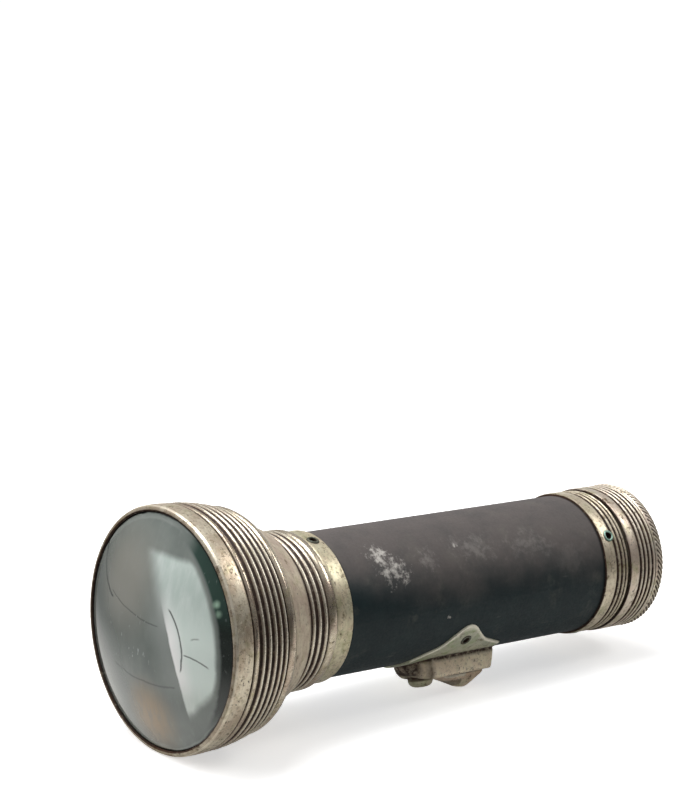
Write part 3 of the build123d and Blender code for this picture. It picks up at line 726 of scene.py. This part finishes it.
def make_head():
    first = 8.1
    pitch = 2.03
    collar = clean([(3.35, 30), (3.35, 30.55), (6, 30.55)], 1)
    edge = clean([(6, 30.95)], 1) + clean([(6.2, 31.2)], 0.5)
    edge += clean([(6.45, 31.4), (6.9, 31.44), (7.35, 31.28)]) + clean([(7.7, 30.98)], 0.3)
    edge += clean([(7.95, 30.6)], 0.8)
    ribs = beads(first, pitch, 6, head_crest, 0.85)
    bead = smooth_line([(18.25, 28.6), (18.5, 29.05), (18.95, 29.35), (19.5, 29.38), (20.2, 29.1),
                        (20.9, 28.62), (21.5, 27.95), (21.95, 27.2)], 3)
    cone = smooth_line([(22.15, 26.75), (22.7, 26.35), (24, 25.55), (26, 24.5), (28, 23.6),
                        (29.4, 23), (30.1, 22.5)], 3)
    neck = beads(31.4, 2.15, 4, neck_crest, 0.7)
    skin = collar + edge + ribs[:-1]
    skin += [(s, r, 1 if s < 18.4 else 0) for s, r in bead[:-1]]
    skin += [(21.95, 27.2, 0.7)] + [(s, r, 0.9 if s < 22.3 else 0) for s, r in cone[:-1]]
    skin += clean([(30.1, 22.3), (30.35, 22.1)], 0.4) + clean([(30.7, 22), (31, 21.65)], 0.3)
    skin += neck
    skin += clean([(38.1, 20.6), (38.45, 20.88), (38.9, 20.98), (39.4, 20.96), (39.9, 20.88),
                   (40.2, 20.75)]) + clean([(40.3, 20.55)], 0.6)
    inner = [(40.3, 20.4), (38.9, 20.4), (37.85, 19.75), (36.8, 20.4), (35.7, 19.85), (34.6, 20.6),
             (33.55, 20.15), (32.5, 21), (31.4, 20.9), (30.3, 21.5), (28, 23.05), (24, 25),
             (22, 26.4), (21.5, 27.3), (20, 28.5), (19.2, 28.75), (18.25, 28.05), (14, 29.5),
             (10, 30.2), (7, 30.5), (6.6, 30.3), (6.55, 30)]
    add_piece("head_ribbed", "head", NICKEL, "head_shell", "plated_brass",
              *lathe(skin + clean(inner, 1), 288, 0.06, 7))


def make_lens():
    cap_r = 29.8
    rise = 7.15
    ball_r = (cap_r ** 2 + rise ** 2) / (2 * rise)
    middle = ball_r - 6.6
    half = asin(cap_r / ball_r)
    crown = []
    for i in range(49):
        angle = half * i / 48
        crown.append((middle - ball_r * cos(angle), ball_r * sin(angle)))
    crown[-1] = (0.5, 29.78)
    outline = crown + [(0.62, 29.95), (0.66, 30.3), (0.85, 30.6), (2.45, 30.62), (2.65, 30.4),
                       (2.65, 0)]
    add_piece("bulls_eye_lens", "lens_carrier", SLOT_MATERIALS["lens_glass"], "lens", "lens_glass",
              *lathe(clean(outline), 192), sharp=30)


make_bezel()
make_head()
make_lens()


# ---------------------------------------------------------------- ferrules and end cap

def make_front_band():
    spigot = beads(32.4, 2.1, 4, lambda station: 18.95, 0.35, 8)
    skin = clean([(31.6, 18.2), (31.6, 18.6)], 0.3) + softer(spigot, 0.3, 0.7)
    skin += clean([(40.2, 18.95), (40.7, 18.95)], 0.3)
    skin += clean([(41, 18.95), (41, 19.6)], 1)
    skin += clean([(41.06, 19.82), (41.25, 19.94), (42, 19.97), (44.6, 19.95), (45.3, 20),
                   (45.75, 20.06), (46, 20)])
    skin += clean([(46.15, 19.8), (46.2, 19.25), (41.6, 19.25), (41.6, 18.2)], 1)
    obj = add_piece("front_band", "barrel", BRASS_BAND, "front_ferrule", "plated_brass",
                    *lathe(skin, 256, 0.05, 11))
    bake(obj, carve(obj, *[eyelet_drill(*place) for place in FRONT_EYELETS]))


def make_rear_band():
    thread = softer(beads(141.75, 1.6, 3, lambda station: 19.95, 0.6, 12), 0)
    thread = [(station, radius, max(soil, 0.12)) for station, radius, soil in thread]
    skin = clean([(137.3, 19.25), (137.3, 19.7)], 1)
    skin += clean([(137.42, 19.9), (137.7, 19.97), (139, 19.93), (140.6, 19.95), (141, 19.9)])
    skin += clean([(141.35, 19.68), (141.6, 19.5)], 1)
    skin += thread
    skin += clean([(145.1, 19.45)], 1) + clean([(145.3, 19.8), (145.5, 19.88)])
    skin += clean([(145.72, 19.8), (145.95, 19.5), (146.2, 18.85)], 1)
    skin += clean([(146.7, 18.85)], 0.8) + clean([(147.5, 18.85)], 0.3)
    skin += softer(beads(147.75, 1.7, 4, lambda station: 18.85, 0.35, 8), 0.3, 0.7)
    skin += clean([(153.6, 18.6), (153.6, 18.05)], 0.3)
    skin += clean([(145.6, 18.05), (145.6, 18.9), (141, 18.9), (141, 19.25)], 1)
    obj = add_piece("rear_band", "barrel", TAIL_BAND, "rear_ferrule", "plated_brass",
                    *lathe(skin, 256, 0.04, 17))
    bake(obj, carve(obj, *[eyelet_drill(*place) for place in REAR_EYELETS]))


def milling(station, degrees, radius):
    """Slanting teeth rolled into the bead at the back of the end cap, in mm of depth."""
    if not (157.3 < station < 159.72 and radius > 19.6):
        return 0
    phase = radians(degrees) * 84 + (station - 158.5) * 6.4
    return 0.34 * (0.5 + 0.5 * cos(phase)) ** 1.5


def make_end_cap():
    crest = 20.3
    ribs = softer(beads(150.5, 1.54, 5, lambda station: crest, 0.55), 0.4)
    skin = clean([(146.5, 19.8), (146.52, 19.95), (146.66, 20.12)], 1)
    skin += clean([(146.82, 20.24), (147, 20.31), (148.2, 20.32), (149.4, 20.3),
                   (149.85, 20.18)]) + clean([(150.2, 19.95)], 0.8)
    skin += ribs
    skin += clean([(156.9, 19.95), (157.15, 20.15), (157.4, 20.25)])
    skin += clean(smooth_line([(157.5, 20.3), (157.85, 20.44), (158.1, 20.48), (158.4, 20.49),
                               (158.7, 20.44), (159, 20.33), (159.3, 20.14), (159.55, 19.86),
                               (159.7, 19.6)], 2), -0.5)
    skin += clean([(159.82, 19.2), (159.9, 18.8)]) + clean([(159.97, 18.4)], 0.2)
    skin += clean([(160, 17.6), (160, 12), (160, 6), (160, 0)])
    skin += clean([(159.45, 0), (159.45, 18.2), (159, 19.2), (157.6, 19.65), (156.6, 19.2),
                   (150, 19.2), (149.2, 19.75)], 1)
    add_piece("end_cap_milled", "cap", TAIL_CAP, "end_cap", "plated_brass",
              *lathe(skin, 504, 0.035, 23, milling))


make_front_band()
make_rear_band()
make_end_cap()


def eyelet_mesh(station, degrees, surface, inner, verts, faces, dirt_and_shade):
    """Rolled hollow rivet: a rounded flange outside, a plain one inside."""
    profile = [(0.98, inner), (0.98, surface + 0.02), (1.03, surface + 0.2),
               (1.18, surface + 0.32), (1.38, surface + 0.33), (1.58, surface + 0.2),
               (1.72, surface - 0.03), (1.27, surface - 0.12), (1.27, inner + 0.45),
               (1.75, inner + 0.3), (1.7, inner)]
    place = turned_frame(station, degrees)
    steps = 36
    start = len(verts)
    for rho, height in profile:
        for i in range(steps):
            a = 2 * pi * i / steps
            wobble = 1 + 0.03 * sin(3 * a + station)
            verts.append(place @ Vector((rho * wobble * cos(a) * MM,
                                         rho * wobble * sin(a) * MM, height * MM)))
            # The bore is blackened, a painted shade in the hole, and the outer edges of both
            # flanges are darkened.
            dirt_and_shade.append(1 if rho < 1 else (0.9 if rho > 1.65 else 0))
    rings = numbered(len(profile), steps, start)
    faces += join_rings(rings + rings[:1])


def make_eyelets(name, places, seats, node, material):
    """Eyelets at (station, angle); a seat is the flange's height and the inner end's."""
    verts, faces, dirt_and_shade = [], [], []
    for place, (surface, inner) in zip(places, seats):
        eyelet_mesh(*place, surface, inner, verts, faces, dirt_and_shade)
    add_piece(name, "barrel", material, node, "verdigris_brass", verts, faces, dirt_and_shade)


FERRULE_SEATS = ((19.97, 16.93), (19.75, 16.58))
PLATE_SEATS = ((PLATE_R - 0.05, 16.93), (PLATE_R - 0.05, 16.93))
make_eyelets("front_eyelets", FRONT_EYELETS, FERRULE_SEATS, "front_ferrule_eyelets", EYELET_DARK)
make_eyelets("rear_eyelets", REAR_EYELETS, FERRULE_SEATS, "rear_ferrule_eyelets", VERDIGRIS)
make_eyelets("plate_eyelets", PLATE_EYELETS, PLATE_SEATS, "switch_plate_eyelets", EYELET_DARK)


# ---------------------------------------------------------------- switch

SWITCH_FRAME = turned_frame(0, SWITCH_ANGLE)
HOUSING_TOP = 24.4
HOUSING_HALF = 6.2
HOUSING_FRONT = 74.8
HOUSING_BACK = 103.7
TOE_LENGTH = 8.3
TOE_LOW = 19.9
SHEET = 0.5
BUTTON = 82.1
FOOT = 24.46


def on_switch(station, across, height):
    """Place in metres from a station, an offset across and a height from the axis."""
    return SWITCH_FRAME @ (Vector((station, across, height)) * MM)


def stacked(rings):
    """Closed mesh through rings with the same number of (station, across, height) points."""
    verts = [on_switch(*spot) for ring in rings for spot in ring]
    rows = numbered(len(rings), len(rings[0]))
    return verts, [tuple(rows[0]), tuple(rows[-1])] + join_rings(rows)


def settle(obj, tools, bevel_mm, dirt_and_shade_at, wear_and_highlight_at=None, sharp=40):
    """Cuts, rounds sharp edges and writes each point's soil and painted shade, and its worn
    lightening and painted highlight.
    """
    if bevel_mm:
        edge = obj.modifiers.new("edge", "BEVEL")
        edge.width = bevel_mm * MM
        edge.segments = 2
        edge.limit_method = "ANGLE"
        edge.angle_limit = radians(40)
    bake(obj, tools, sharp)
    back = SWITCH_FRAME.inverted()
    for name, rule in (("dirt_and_shade", dirt_and_shade_at), ("wear_and_highlight", wear_and_highlight_at)):
        if rule:
            write_layer(obj.data, name, [rule(*(back @ v.co * 1000)) for v in obj.data.vertices])


def round_bar(radius, low, high, station, steps=40):
    """Upright cylinder of the switch, for cutting."""
    return stacked([[(station + radius * x, radius * y, height) for x, y in circle(steps)]
                    for height in (low, high)])


def square_bar(front, rear, half, low, high, corner=0.3):
    """Upright bar with rounded corners, for the slots and the stem."""
    rings = []
    for height in (low, high):
        ring = []
        for sx, sy, start in ((1, 1, 0), (-1, 1, 90), (-1, -1, 180), (1, -1, 270)):
            cx = (rear if sx > 0 else front) - sx * corner
            for step in (0, 30, 60, 90):
                a = radians(start + step)
                ring.append((cx + corner * cos(a), sy * (half - corner) + corner * sin(a),
                             height))
        rings.append(ring)
    return stacked(rings)


def axis_bar(radius, front, rear, steps=160):
    """Cylinder along the torch's axis, for trimming the housing to the plate."""
    return stacked([[(station, radius * x, radius * y) for x, y in circle(steps)]
                    for station in (front, rear)])


def make_plate():
    """Thin saddle plate with rolled edges and a bell-shaped ear each side."""
    half = smooth_line([(71.4, 0.5), (72.3, 3.6), (74.3, 7.6), (77, 10.4), (80.6, 12.9),
                        (83.3, 16), (86.2, 18.5), (88.6, 19.3), (91, 18.4), (93.2, 16.2),
                        (96.4, 13.3), (100, 11.4), (104.3, 9.2)], 7)
    front, rear = half[0][0], half[-1][0]
    half = [half[0], (front + 0.12, 1.5)] + half[2:-1]
    half += [(rear - gap, 9.2 + 0.5 * gap) for gap in (0.4, 0.2, 0.08, 0)]
    half = [row for k, row in enumerate(half) if k == 0 or row[0] > half[k - 1][0] + 0.01
            or k == len(half) - 1]
    edge = 0.42
    rings = []
    for station, arc in half:
        small = min(1, arc / 1.2)
        offsets = [arc - small * step for step in (0, 0.04, 0.12, 0.24, 0.42)]
        offsets += [offsets[-1] * (1 - k / 14) for k in range(1, 14)]
        line = offsets + [0] + [-v for v in offsets[::-1]]
        top, low = [], []
        for v in line:
            gap = min(arc - abs(v), 1.3 * (station - front), rear - station)
            share = max(0, 1 - gap / edge)
            drop = 0.34 * (1 - sqrt(max(0, 1 - share ** 2)))
            lift = 0.05 * noise.noise(Vector((station / 6, v / 6, 1.7)))
            around = v / PLATE_R
            radius = PLATE_R - drop + min(0, lift)
            top.append((station, radius * sin(around), radius * cos(around)))
            low.append((station, BARREL_R * sin(around), BARREL_R * cos(around)))
        rings.append(top + low[::-1])
    obj = add_piece("saddle_plate", "barrel", PLATE_METAL, "switch_plate", "switch_brass",
                    *stacked(rings))
    ears = [eyelet_drill(*place) for place in PLATE_EYELETS]
    tools = carve(obj, *ears, square_bar(84.4, 102.2, 3, 15, 23), round_bar(1.5, 15, 23, BUTTON))

    # Painted shade: a dark band on the plate round the foot of the cover.
    def dirt_and_shade_at(station, across, height):
        foot = HOUSING_HALF * sqrt(max(0, 1 - max(0, (83.1 - station) / 8.3) ** 2))
        gap = abs(across) - foot
        return max(0, min(1, 1.6 - gap / 0.7)) if 75 < station < 104.2 and gap > -0.5 else 0

    # Lightens the rolled side edges away from the plate's narrow ends.
    def wear_and_highlight_at(station, across, height):
        if hypot(across, height) < PLATE_R - 0.45 or station > 103.9:
            return 0
        arc = float(np.interp(station, [row[0] for row in half], [row[1] for row in half]))
        gap = arc - abs(atan2(across, height)) * PLATE_R
        return 1 if gap < 0.45 and arc > 6.8 else 0

    settle(obj, tools, 0, dirt_and_shade_at, wear_and_highlight_at)


def arch(station, wide, high, corner_wide, corner_high):
    """Ring of the housing's section: flat sides, quarter-ellipse corners and a slight crown."""
    side = [(16, wide), (18.9, wide), (19.3, wide), (19.7, wide), (20.3, wide), (20.9, wide)]
    side = [(min(height, high - corner_high), half) for height, half in side]
    for degrees in (0, 15, 30, 45, 60, 75, 90):
        angle = radians(degrees)
        side.append((high - corner_high * (1 - sin(angle)),
                     wide - corner_wide * (1 - cos(angle))))
    inner = side[-1][1]
    side += [(high, inner * share) for share in (0.66, 0.33)]
    ring = [(station, half, height) for height, half in side]
    return ring + [(station, 0, high)] + [(station, -half, height) for height, half in side[::-1]]


def housing_form(inset):
    """Outer form of the pressed cover, or its hollow when drawn one sheet smaller."""
    front = HOUSING_FRONT + inset * 1.3
    back = HOUSING_BACK - inset
    top = HOUSING_TOP - inset
    half = HOUSING_HALF - inset
    rings = []
    for share in (0.004, 0.014, 0.03, 0.055, 0.09, 0.13, 0.18, 0.24, 0.32, 0.42, 0.55, 0.68, 0.8,
                  0.9, 1):
        left = 1 - share
        wide = half * sqrt(1 - left ** 2)
        high = TOE_LOW + (top - TOE_LOW) * (1 - left ** 2.6)
        rings.append(arch(front + share * TOE_LENGTH, wide, high, min(1 + 1.6 * left, 0.8 * wide),
                          1 + 0.8 * left))
    for station in (86, 90, 94, 98):
        rings.append(arch(station, half, top, 1, 1))
    for gap, high in ((1.6, top), (1.25, top - 0.03), (1.05, top - 0.35), (0.6, top - 1.7),
                      (0.1, 21), (0, 20.6)):
        rings.append(arch(back - gap, half, high, 1, 1))
    return stacked(rings)


def make_housing():
    obj = add_piece("pressed_housing", "barrel", HOUSING_METAL, "switch_housing", "switch_brass",
                    *housing_form(0))
    tools = carve(obj, housing_form(SHEET), axis_bar(PLATE_R - 0.02, 60, 120),
                  square_bar(86.5, 101.2, 2.2, 21, 27, 0.6),
                  round_bar(3.5, 21, 27, BUTTON, steps=64))

    def dirt_and_shade_at(station, across, height):
        # Painted shade: darker along the bottom where the cover meets the plate, inside the hollow,
        # in a ring round the button hole, on the top under the fin, over the front end and in a
        # band where the side turns into the front end.
        base = max(0, min(0.85, (20.4 - height) / 1.3)) if abs(across) > 3 else 0
        inside = 1 if height < HOUSING_TOP - SHEET + 0.05 and abs(across) < 5.75 \
            and station > 83 else 0
        around = hypot(station - BUTTON, across) - 3.5
        rim = 0.95 if around < 0.3 and height > 22 else 0
        under = 0.9 if abs(across) < 5.3 and height > 24.2 and station > 85.8 else 0
        toe_shade = 0.8 * max(0, min(1, (80 - station) / 2.5))
        corner_shade = 0.7 * exp(-((station - 81.2) / 1.1) ** 2)
        return max(0.95 * base, inside, rim, under, toe_shade, corner_shade)

    settle(obj, tools, 0.09, dirt_and_shade_at)


def make_slider():
    """Thumb piece: a smooth fin on a long foot, with its stem through the slot."""
    crest = smooth_line([(87.6, 24.92), (88.2, 25.12), (89.2, 25.45), (91.8, 26.8), (94, 27.98),
                         (95.6, 28.48), (97, 28.28), (98.5, 27.4), (100, 26), (100.9, 25.1),
                         (101.4, 24.85)], 5)
    sides = [(FOOT, 4.2), (25, 4.2), (25.5, 3.95), (26.2, 3.4), (27.4, 2.45), (28.6, 1.5)]
    heights, halves = zip(*sides)
    rings = []
    for station, high in crest:
        end = min(station - 87.6, 101.4 - station)
        plan = 1 - 0.16 * max(0, 1 - end / 0.8) ** 2
        top = high - 0.12 * max(0, 1 - end / 0.25)
        side = []
        for k in range(11):
            t = k / 10
            height = FOOT + (top - FOOT) * t
            half = float(np.interp(height, heights, halves)) * plan
            side.append((height, half * (1 - 0.30 * max(0, (t - 0.72) / 0.28) ** 2.5)))
        side += [(top + 0.02, side[-1][1] * 0.6)]
        ring = [(station, half, height) for height, half in side]
        ring += [(station, -half, height) for height, half in side[::-1]]
        rings.append(ring)
    verts, faces = stacked(rings)
    stem_verts, stem_faces = square_bar(89.4, 100.6, 2, 22.6, FOOT + 0.2, 0.5)
    start = len(verts)
    verts += stem_verts
    faces += [tuple(start + i for i in face) for face in stem_faces]
    obj = add_piece("thumb_fin", "slider", FIN_METAL, "switch_slider", "plated_brass", verts, faces)

    # Painted shade under the foot; a band across the front half of the fin at mid height is
    # darkened.
    def dirt_and_shade_at(station, across, height):
        if height < FOOT + 0.02:
            return 1
        return 0.55 if 26 < height < 27.6 and station < 94 else 0

    # Lightens the foot's side edges on the front half.
    def wear_and_highlight_at(station, across, height):
        return 0.8 if FOOT + 0.1 < height < 25.2 and abs(across) > 3.3 and station < 95 else 0

    settle(obj, [], 0, dirt_and_shade_at, wear_and_highlight_at, 50)


def make_button():
    profile = [(0, 26.5), (0.8, 26.49), (1.5, 26.45), (2.1, 26.32), (2.6, 26.08), (2.98, 25.74),
               (3.24, 25.32), (3.37, 24.85), (3.4, 24.5), (3.4, 23.2), (3.4, 22.52), (3.62, 22.5),
               (3.65, 22.45), (3.65, 22), (3.6, 21.95), (1.2, 21.95), (1.2, 18.75), (1.05, 18.62),
               (0, 18.62)]
    verts, rows = [], []
    turn = circle(56)
    for rho, height in profile:
        if rho < 1e-6:
            rows.append([len(verts)] * len(turn))
            verts.append(on_switch(BUTTON, 0, height))
            continue
        rows += numbered(1, len(turn), len(verts))
        verts += [on_switch(BUTTON + rho * x, rho * y, height) for x, y in turn]
    obj = add_piece("domed_button", "button", BUTTON_METAL, "push_button", "plated_brass",
                    verts, join_rings(rows))
    # The skirt below the dome is darkened: painted shade where it sits in the hole.
    settle(obj, [], 0, lambda station, across, height: max(0, min(1, (24.75 - height) / 0.4)))


def make_button_coil():
    """Spring between the saddle plate and the button's flange, at its rest length; the mesh does
    not shorten as the button is pressed.
    """
    wire, coil_r, turns = 0.2, 2.1, 1.5
    seat, under = PLATE_R, 21.9
    steps, sides = 108, 10
    verts = []
    for k in range(steps + 1):
        a = 2 * pi * turns * k / steps
        height = seat + wire + (under - seat - 2 * wire) * k / steps
        for x, y in circle(sides):
            rho = coil_r + wire * x
            verts.append(on_switch(BUTTON + rho * cos(a), rho * sin(a),
                                   height + wire * y))
    rows = numbered(steps + 1, sides)
    faces = join_rings(rows) + [tuple(rows[0]), tuple(rows[-1])]
    obj = add_piece("button_coil", "barrel", SLOT_MATERIALS["spring_steel"], "button_spring",
                    "spring_steel", verts, faces)
    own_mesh(obj)


make_plate()
make_housing()
make_slider()
make_button()
make_button_coil()


# ---------------------------------------------------------------- camera, light and floor

# The camera goes round the target: degrees round from the lens's front, above it, and rolled
CAMERA_ANGLES = (49.9, 11.3, 3.3)
CAMERA_TARGET = (0, -0.1027, 0.0545)
CAMERA_DISTANCE = 0.660


def add_camera():
    data = bpy.data.cameras.new("camera")
    data.lens = 115.45
    data.sensor_width = 36
    camera = link("camera", data)
    turn, rise, roll = (radians(angle) for angle in CAMERA_ANGLES)
    place = (Matrix.Translation(CAMERA_TARGET) @ Matrix.Rotation(turn, 4, "Z")
             @ Matrix.Rotation(pi / 2 - rise, 4, "X") @ Matrix.Rotation(roll, 4, "Z"))
    camera.matrix_world = place @ Matrix.Translation((0, 0, CAMERA_DISTANCE))
    data.clip_start = 0.01
    bpy.context.scene.camera = camera


def add_light(name, place, target, size, power, colour=(1, 1, 1), glossy=True):
    data = bpy.data.lights.new(name, "AREA")
    data.shape = "RECTANGLE"
    data.size, data.size_y = size
    data.energy = power
    data.color = colour
    light = link(name, data)
    light.location = place
    light.visible_glossy = glossy
    light.rotation_euler = (Vector(target) - Vector(place)).to_track_quat("-Z", "Y").to_euler()


def add_world():
    """Dim studio for reflections, with a dark band round the horizon, and white to the camera."""
    world = bpy.data.worlds.new("studio")
    bpy.context.scene.world = world
    world.use_nodes = True
    g = Graph(world.node_tree)
    sky = g.add("TexCoord").outputs["Generated"]
    up = g.add("SeparateXYZ", sky).outputs["Z"]
    bands = g.add("ValToRGB", g.math("MULTIPLY_ADD", up, 0.5, 0.5))
    stops = [(0, 0.30), (0.36, 0.16), (0.45, 0.02), (0.64, 0.02), (0.74, 0.18), (1, 0.34)]
    elements = bands.color_ramp.elements
    elements[0].position = stops[0][0]
    elements[1].position = stops[-1][0]
    for position, value in stops[1:-1]:
        elements.new(position)
    for element, (position, value) in zip(elements, stops):
        element.color = (value, value, value * 1.02, 1)
    wall = g.ramp(g.vector("DOT_PRODUCT", sky, (-0.62, 0.78, 0.08)), 0.62, 0.92, 0, 0.62)
    wall = g.times(wall, g.ramp(up, 0.10, 0.42, 1, 0.2))
    dim = g.nodes["Background"]
    g.put(dim.inputs["Color"], g.mix(1, bands.outputs[0], wall, "ADD"))
    white = g.add("Background", (1, 1, 1), 1.05)
    seen = g.add("LightPath").outputs["Is Camera Ray"]
    both = g.add("MixShader", seen, dim.outputs[0], white.outputs[0])
    g.put(g.nodes["World Output"].inputs["Surface"], both.outputs[0])


def add_floor():
    """Pale round table, tilted so that the head's rim and the switch's fin both touch it."""
    low_front = Vector((0, -0.157, -0.0317))
    low_back = Vector((0, -0.0644, -0.0277))
    slope = atan2(low_back.z - low_front.z, low_back.y - low_front.y)
    bpy.ops.mesh.primitive_circle_add(vertices=96, radius=0.42, fill_type="NGON")
    floor = bpy.context.active_object
    floor.name = "floor"
    floor.rotation_euler = (slope, 0, 0)
    middle = Vector((0, -0.08, 0))
    middle.z = low_front.z + (middle.y - low_front.y) * tan(slope)
    floor.location = middle
    s = Shader("floor_pale")
    seen = s.add("LightPath").outputs["Is Camera Ray"]
    reach = s.vector("LENGTH", s.vector("ADD", s.place, (-0.05, -0.05, 0)))
    # Painted light: to every ray but the camera's, the table near the torch glows faintly and is
    # lighter, lighting the torch's underside, and further out it is dark.
    bounce = s.mix(s.ramp(reach, 0.125, 0.24), (0.46, 0.45, 0.43), (0.05, 0.05, 0.05))
    glow = s.times(s.minus(1, seen), s.ramp(reach, 0.125, 0.24, 0.15, 0))
    floor.data.materials.append(s.shade(
        Base_Color=s.mix(seen, bounce, (0.88, 0.88, 0.88)), Roughness=0.7, Specular_IOR_Level=0.1,
        Emission_Color=(1, 1, 1), Emission_Strength=s.plus(s.times(seen, 0.55), glow)))


add_camera()
add_world()
add_floor()
add_light("key_softbox", (-0.15, -0.25, 0.75), (0, -0.1, 0), (0.42, 0.54), 6.5)
add_light("rear_softbox", (0.27, 0.52, 0.62), (0, -0.08, 0), (0.30, 0.34), 2, (1, 0.98, 0.95))
add_light("front_window", (-0.42, -0.78, 0.34), (0, -0.15, 0), (0.85, 0.60), 5, glossy=False)
bpy.context.scene.view_settings.view_transform = "Standard"
